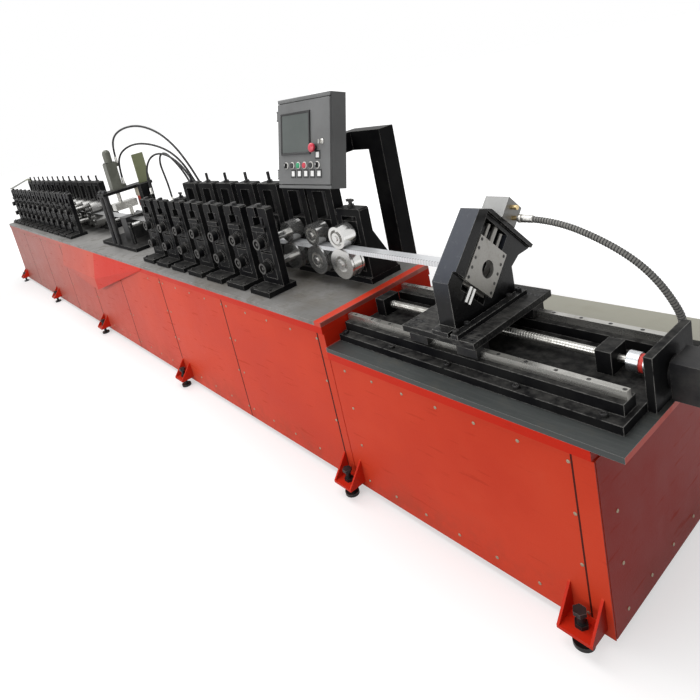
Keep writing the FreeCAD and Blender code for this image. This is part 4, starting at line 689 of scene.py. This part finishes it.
LEAN = math.radians(15)
PANEL_CORNER = (-0.528, 0.360, 1.326)
PANEL = (Matrix.Translation(PANEL_CORNER) @ Matrix.Rotation(-LEAN, 4, "X")
         @ Matrix.Rotation(math.pi / 2, 4, "X"))


def on_panel(x, up, out=0.013):
    """A place on the door: across, up the door and out of it, in metres."""
    return PANEL @ Matrix.Translation((x, up, out))


# Folded rims of the control box above and below the door, with a thin gap to it. They
# are part of the box's sheet and keep its enamel.

for name, up, high in (("case_rim_top", 0.4258, 0.0184), ("case_rim_low", 0.0080, 0.0160)):
    rim = slab(name, wide=0.4070, high=high, thick=0.0100, soft=0.0012)
    fasten(spread(rim, [on_panel(0.204, up, 0.0004)]), grey_enamel, "base")

# Bezel and field of the screen: a moulded black frame that stands on the door, and the
# display's glass set back inside it.

SCREEN = (0.150, 0.2635)
GLASS_OUT = 0.0177
dark_mould, tree, shader, place = new_finish("dark_mould", shine=0.35)
rub = mottle(tree, place, 200.0, 3.0)
feed(shader, "Base Color", rub.tint((0.008, 0.008, 0.009, 1), (0.024, 0.024, 0.024, 1)))
feed(shader, "Roughness", rub * 0.2 + 0.30)

bezel = slab("screen_bezel", wide=0.232, high=0.203, thick=0.0075, soft=0.0012,
             hollow=0.0085, sunk=0.0030)
fasten(spread(bezel, [on_panel(*SCREEN)]), dark_mould, "panel_door")
glass = slab("screen_field", wide=0.210, high=0.180, thick=0.0002)
fasten(spread(glass, [on_panel(*SCREEN, GLASS_OUT)]), screen_glass, "panel_door")

# Controls on the door: selector switches, push buttons in chromed rings, a mushroom stop
# button that stands out over the screen's corner, a key lock, and blank legend plates.


def plastic(name, low, high):
    finish, tree, shader, place = new_finish(name, coat=0.2, shine=0.4)
    rub = mottle(tree, place, 160.0, 3.0)
    feed(shader, "Base Color", rub.tint(low, high))
    feed(shader, "Roughness", rub * 0.2 + 0.22)
    return finish


caps = {"black": dark_mould,
        "ring": plated,
        "green": plastic("green_cap", (0.010, 0.22, 0.095, 1), (0.022, 0.34, 0.15, 1)),
        "red": plastic("red_cap", (0.42, 0.012, 0.035, 1), (0.60, 0.030, 0.060, 1)),
        "white": plastic("white_plate", (0.66, 0.66, 0.65, 1), (0.82, 0.82, 0.81, 1))}


def control(piece, colour, *spots):
    """A control copied to its spots on the door."""
    piece = spread(piece, [on_panel(*spot) for spot in spots])
    fasten(piece, caps[colour], "panel_door")
    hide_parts("control_buttons")


ROW = 0.110
COLUMNS = [0.072 + 0.049 * number for number in range(6)]
STOP = (0.298, 0.190)
LOCK = (0.350, 0.216)
rings = turned("push_rings", 0.0170, [(0.004, 0.0170), (0.001, 0.0155), (0, 0.0138),
                                      (-0.002, 0.0136)], soft=0.0004)
control(rings, "ring", *[(column, ROW) for column in COLUMNS])
for colour, numbers in (("black", (1, 4)), ("green", (2,)), ("red", (3,))):
    cap = turned("push_caps_" + colour, 0.0134, [(0.008, 0.0134), (0.0015, 0.0115)],
                 soft=0.0006)
    control(cap, colour, *[(COLUMNS[number], ROW) for number in numbers])
selectors = (COLUMNS[0], COLUMNS[5])
control(turned("selector_bases", 0.0136, [(0.006, 0.0136), (0.001, 0.0120)], soft=0.0005),
        "black", *[(column, ROW) for column in selectors])
control(slab("selector_levers", wide=0.0085, high=0.025, thick=0.009, soft=0.0015),
        "black", *[(column, ROW, 0.019) for column in selectors])
control(slab("selector_marks", wide=0.0025, high=0.010, thick=0.0006),
        "white", *[(column, ROW + 0.004, 0.028) for column in selectors])
collar = [(0.003, 0.016), (0.008, 0.013), (0.006, 0.011)]
control(turned("stop_collar", 0.016, collar, sides=28, soft=0.0006), "black", STOP)
mushroom = [(0.002, 0.0205), (0.005, 0.022), (0.005, 0.0205), (0.003, 0.014),
            (0.001, 0.006)]
control(turned("stop_head", 0.012, mushroom, sides=32, soft=0.0008), "red", (*STOP, 0.027))
barrel = [(0.003, 0.0135), (0.003, 0.0105), (0.003, 0.0100), (0, 0.0040), (-0.002, 0.0036)]
control(turned("key_lock", 0.0135, barrel, soft=0.0005), "ring", LOCK)
control(slab("key_blade", wide=0.003, high=0.020, thick=0.016, soft=0.0008), "ring",
        (*LOCK, 0.020))
legend = [(0.128 + 0.050 * number, 0.071) for number in range(5)] + [(0.318, 0.157)]
control(slab("legend_holders", wide=0.038, high=0.040, thick=0.0022, soft=0.0008), "black",
        *legend)
control(slab("legend_plates", wide=0.023, high=0.025, thick=0.0006), "white",
        *[(x, up, 0.0152) for x, up in legend])

# Screws of the slide bed: socket screws that hold its flange to the table, and sunk ones
# along both rails, nearly level with the rail so that the blocks pass over them.

FLANGE_TOP = 0.744
RAIL_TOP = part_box("guide_rails")[1][2]
cap_screw = turned("bed_screws", 0.012, [(0.010, 0.012), (0.001, 0.011), (0, 0.006),
                                         (-0.005, 0.0055)], sides=16, soft=0.0004)
spots = [facing(x, y, FLANGE_TOP, "up")
         for x in (0.030, 0.300, 0.571, 0.843, 1.114) for y in (0.142, 0.640)]
fasten(spread(cap_screw, spots), black_steel, "base")
rail_screw = turned("rail_screws", 0.0068, [(0.0001, 0.0068), (0, 0.0056),
                                            (0.0001, 0.0052), (0, 0.0028),
                                            (-0.0001, 0.0026)], sides=16)
spots = [facing(0.050 + 0.100 * number, y, RAIL_TOP, "up")
         for number in range(12) for y in (0.200, 0.545)]
fasten(spread(rail_screw, spots), black_steel, "base")

# Shaft coupling: two turned alloy halves, clamped on the motor's and the screw's shafts,
# with a red elastomer spider between their jaws.

alloy, tree, shader, place = new_finish("turned_alloy", metallic=1.0)
ring = tree.node("ShaderNodeTexWave", {"wave_type": "BANDS", "bands_direction": "X"},
                 {"Vector": place, "Scale": 220.0, "Distortion": 0.4, "Detail": 2.0})
film = mottle(tree, place, 40.0, 4.0, 0.6)
feed(shader, "Base Color", film.tint((0.60, 0.62, 0.64, 1), (0.78, 0.80, 0.82, 1)))
feed(shader, "Roughness", film * 0.15 + ring * 0.08 + 0.16)
roughen(tree, shader, ring, 0.0003)
dress(alloy, "shaft_coupling")

red_rubber, tree, shader, place = new_finish("red_elastomer")
rub = mottle(tree, place, 90.0, 4.0)
feed(shader, "Base Color", rub.tint((0.45, 0.02, 0.015, 1), (0.62, 0.045, 0.03, 1)))
feed(shader, "Roughness", rub * 0.2 + 0.38)
roughen(tree, shader, rub, 0.0004)
dress(red_rubber, "coupling_spider")

# Carriage plate: milled steel, blackened and scratched grey, with sunk screws at its
# corners.

plate_black, tree, shader, place, cloud, dust, colour = black_finish(
    "plate_black", dust_share=0.6, edge_wear_and_highlight=0.9, shine=0.10)
scratch = mottle(tree, place, 70.0, 4.0, 0.6, (0.3, 2.5, 1.0)).band(0.5, 0.72)
feed(shader, "Base Color", (scratch * 0.5).tint(colour, (0.13, 0.127, 0.12, 1)))
feed(shader, "Roughness", dust * 0.2 + 0.35)
roughen(tree, shader, scratch, 0.0005)
dress(plate_black, "carriage_plate")
sunk = turned("carriage_screws", 0.0098, [(0.0004, 0.0098), (0, 0.0075), (-0.0003, 0.0072),
                                          (0, 0.0035), (-0.0001, 0.0033)], sides=18)
spots = [facing(x, y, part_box("carriage_plate")[1][2], "up")
         for x in (0.400, 0.430, 0.648, 0.680) for y in (0.165, 0.205, 0.562, 0.603)]
fasten(spread(sunk, spots), dark_mould, "carriage")

# Cutter frame: a thick plate flame-cut to its outline and bored, in glossy black, with a
# painted sky reflection where it faces up. Four socket screws hold its sole to the carriage
# plate.

gloss_black, tree, shader, place, cloud, dust, colour = black_finish(
    "gloss_black", dust_share=0.2, edge_wear_and_highlight=1.0, shine=0.14)
normal = tree.node("ShaderNodeNewGeometry", None, None, "Normal")
# Painted reflection: faces turned up and to the near side are made bluish and paler, as the
# sky in glossy paint.
painted_sky_reflection = (along(tree, normal, "Z") - along(tree, normal, "Y")).band(0.5, 1.2)
painted_sky_reflection = painted_sky_reflection * along(tree, place, "Z").band(0.95, 1.10)
colour = (painted_sky_reflection * 0.5).tint(colour, (0.070, 0.080, 0.105, 1))
feed(shader, "Base Color", colour)
feed(shader, "Roughness", dust * 0.18 + cloud * 0.12 + 0.10)
roughen(tree, shader, dust, 0.0006)
dress(gloss_black, "cutter_frame")
bolt = turned("frame_screws", 0.011, [(0.010, 0.011), (0.001, 0.010), (0, 0.0055),
                                      (-0.005, 0.0050)], sides=16, soft=0.0004)
BAR_X, BAR_TOP = 0.620, 0.878
spots = [facing(BAR_X, y, BAR_TOP, "up") for y in (0.160, 0.225, 0.480, 0.542)]
fasten(spread(bolt, spots), black_steel, "carriage")

# Screws of the die plate: sunk socket screws along two of its edges, which hold it to the
# cutter frame. The plate is turned by 45 degrees about the line, as the cutter is.

LEANING = Matrix.Translation((0, 0.390, 1.023)) @ Matrix.Rotation(-math.pi / 4, 4, "X")
die_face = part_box("die_plate")[1][0]
screw = turned("die_screws", 0.0065, [(0.0004, 0.0065), (0, 0.0050), (0.0003, 0.0046),
                                      (0, 0.0024), (-0.0005, 0.0022)], sides=16)
spots = [LEANING @ facing(die_face, y, z, "exit")
         for y in (-0.088, 0.062) for z in (-0.068, -0.030, 0.008, 0.046, 0.080)]
fasten(spread(screw, spots), black_steel, "carriage")

# Cutter's hydraulic cylinder: a block of cast alloy, machined pale grey, and the two
# fittings in its side.

cast_grey, tree, shader, place = new_finish("cast_grey", metallic=0.2, shine=0.4)
cloud = mottle(tree, place, 26.0, 4.0, 0.6)
colour = cloud.tint((0.22, 0.22, 0.215, 1), (0.30, 0.30, 0.295, 1))
colour = (edge_mask(tree, 0.002) * 0.6).tint(colour, (0.66, 0.66, 0.65, 1))
feed(shader, "Base Color", colour)
feed(shader, "Roughness", cloud * 0.2 + 0.34)
roughen(tree, shader, mottle(tree, place, 260.0, 2.0), 0.0004)
dress(cast_grey, "cutter_cylinder")

brass, tree, shader, place = new_finish("plated_brass", metallic=1.0)
film = mottle(tree, place, 120.0, 4.0)
feed(shader, "Base Color", film.tint((0.48, 0.36, 0.18, 1), (0.68, 0.54, 0.30, 1)))
feed(shader, "Roughness", film * 0.25 + 0.2)
dress(brass, "port_fittings")

# Hose of the cutter: rubber inside a wound guard strip, crimped at both ends. One end rides
# on the carriage, the other stays on the table, and the hose is drawn in one fixed bend
# between them.

CORE = 0.023
route = [(0.641, 0.577, 1.157), (0.722, 0.577, 1.157), (0.820, 0.578, 1.141),
         (0.905, 0.580, 1.108), (0.985, 0.582, 1.066), (1.050, 0.585, 1.016),
         (1.098, 0.590, 0.956), (1.130, 0.600, 0.888), (1.141, 0.617, 0.830),
         (1.141, 0.617, 0.764)]
core = drawn("cutter_hose_line", route, CORE)
points = centre_line(core)
guard = drawn("cutter_hose_guard", wound(points, reach=0.0108, pitch=0.0098),
              thickness=0.0044, smooth=False)

guard_plastic, tree, shader, place = new_finish("guard_plastic")
rub = mottle(tree, place, 60.0, 4.0)
feed(shader, "Base Color", rub.tint((0.008, 0.008, 0.009, 1), (0.030, 0.030, 0.030, 1)))
feed(shader, "Roughness", rub * 0.25 + 0.25)
grey_rubber, tree, shader, place = new_finish("grey_rubber", shine=0.3)
rub = mottle(tree, place, 60.0, 4.0)
feed(shader, "Base Color", rub.tint((0.15, 0.148, 0.14, 1), (0.27, 0.262, 0.24, 1)))
feed(shader, "Roughness", rub * 0.25 + 0.4)

crimped_end = [(0.012, 0.0165), (0, 0.0140), (0.004, 0.0150), (0.012, 0.0150),
               (0.003, 0.0140), (0.012, 0.0150), (0.003, 0.0140), (0.010, 0.0146),
               (0.003, 0.0120)]
for name, spot, toward, body in (("hose_start", route[0], "exit", "carriage"),
                                 ("hose_last", route[-1], "up", "base")):
    end = turned(name, 0.0165, crimped_end, sides=20, soft=0.0008)
    end = spread(end, [facing(*spot, toward)])
    fasten(end, plated, body)
bpy.ops.object.select_all(action="DESELECT")
for piece, finish in ((core, grey_rubber), (guard, guard_plastic)):
    piece.data.materials.append(finish)
    piece.select_set(True)
    bpy.context.view_layer.objects.active = piece
bpy.ops.object.convert(target="MESH")
for piece in (core, guard):
    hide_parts("cutter_hose")
    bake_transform(piece)

# Floor, backdrop and studio light: a pale floor that keeps the machine's shadow and turns
# white away from it, soft panels above and at the near side, and a white surround.

bpy.ops.object.select_all(action="DESELECT")
bpy.ops.mesh.primitive_plane_add(size=80, location=(-3, 0, -0.001))
floor = bpy.context.object
floor.name = "floor"
floor_finish, tree, shader, place = new_finish("pale_floor", shine=0.1)
shader.inputs["Roughness"].default_value = 0.8
cloud = mottle(tree, place, 0.8, 3.0)
feed(shader, "Base Color", cloud.tint((0.50, 0.50, 0.50, 1), (0.52, 0.52, 0.52, 1)))


def background_rays(tree):
    """1 where the camera, or a mirror or glass, sees the background."""
    rays = [tree.node("ShaderNodeLightPath", None, None, name)
            for name in ("Is Camera Ray", "Is Glossy Ray", "Is Transmission Ray")]
    return (rays[0] + rays[1] + rays[2]).clamp()


offset = tree.node("ShaderNodeVectorMath", {"operation": "MULTIPLY_ADD"},
                   {0: place, 1: (0.22, 0.42, 0), 2: (0, -0.17, 0)})
away = tree.node("ShaderNodeVectorMath", {"operation": "LENGTH"}, {0: offset}, "Value")
white = (away.band(0.75, 1.6) * 0.6 + 0.5) * background_rays(tree)
feed(shader, "Emission Color", white.tint((0, 0, 0, 1), (1, 1, 1, 1)))
shader.inputs["Emission Strength"].default_value = 1.0
floor.data.materials.append(floor_finish)

world = bpy.data.worlds.new("surround")
bpy.context.scene.world = world
world.use_nodes = True
air = Maths(world.node_tree)
surround = world.node_tree.nodes["Background"]
surround.inputs["Color"].default_value = (1, 1, 1, 1)
feed(surround, "Strength", background_rays(air) * 0.70 + 0.30)


def lamp(name, place, aim, side, power):
    light = bpy.data.lights.new(name, "AREA")
    light.shape = "RECTANGLE"
    light.size, light.size_y = side
    light.energy = power
    holder = bpy.data.objects.new(name, light)
    holder.location = place
    holder.rotation_euler = (Vector(aim) - Vector(place)).to_track_quat("-Z", "Y").to_euler()
    bpy.context.scene.collection.objects.link(holder)


lamp("top_panel", (-3.0, 0.0, 4.6), (-3.0, 0.35, 0.8), (9.0, 2.6), 250)
lamp("near_panel", (-1.6, -5.0, 2.6), (-2.2, 0.3, 0.7), (8.0, 2.5), 210)

# Camera: a little above a standing person's eyes, beyond the exit end and on the
# operator's side, turned and shifted to match the machine's straight edges.

PICTURE = 700
FOCAL = 581.16
CENTRE_X, CENTRE_Y = 280.93, 222.78
SENSOR = 36.0
STANDING = (1.8930, -1.2575, 1.8404)
eye = bpy.data.cameras.new("eye")
eye.sensor_width = SENSOR
eye.lens = FOCAL / PICTURE * SENSOR
eye.shift_x = (PICTURE / 2 - CENTRE_X) / PICTURE
eye.shift_y = -(PICTURE / 2 - CENTRE_Y) / PICTURE
eye.clip_start, eye.clip_end = 0.05, 200
stand = bpy.data.objects.new("eye", eye)
right = Vector((0.57386, 0.78594, -0.23018))
down = Vector((0.05974, -0.32050, -0.94536))
ahead = Vector((-0.81677, 0.52875, -0.23087))
turn = Matrix((right, -down, -ahead)).transposed().to_4x4()
stand.matrix_world = Matrix.Translation(STANDING) @ turn
bpy.context.scene.collection.objects.link(stand)
bpy.context.scene.camera = stand
bpy.context.scene.view_settings.view_transform = "Standard"
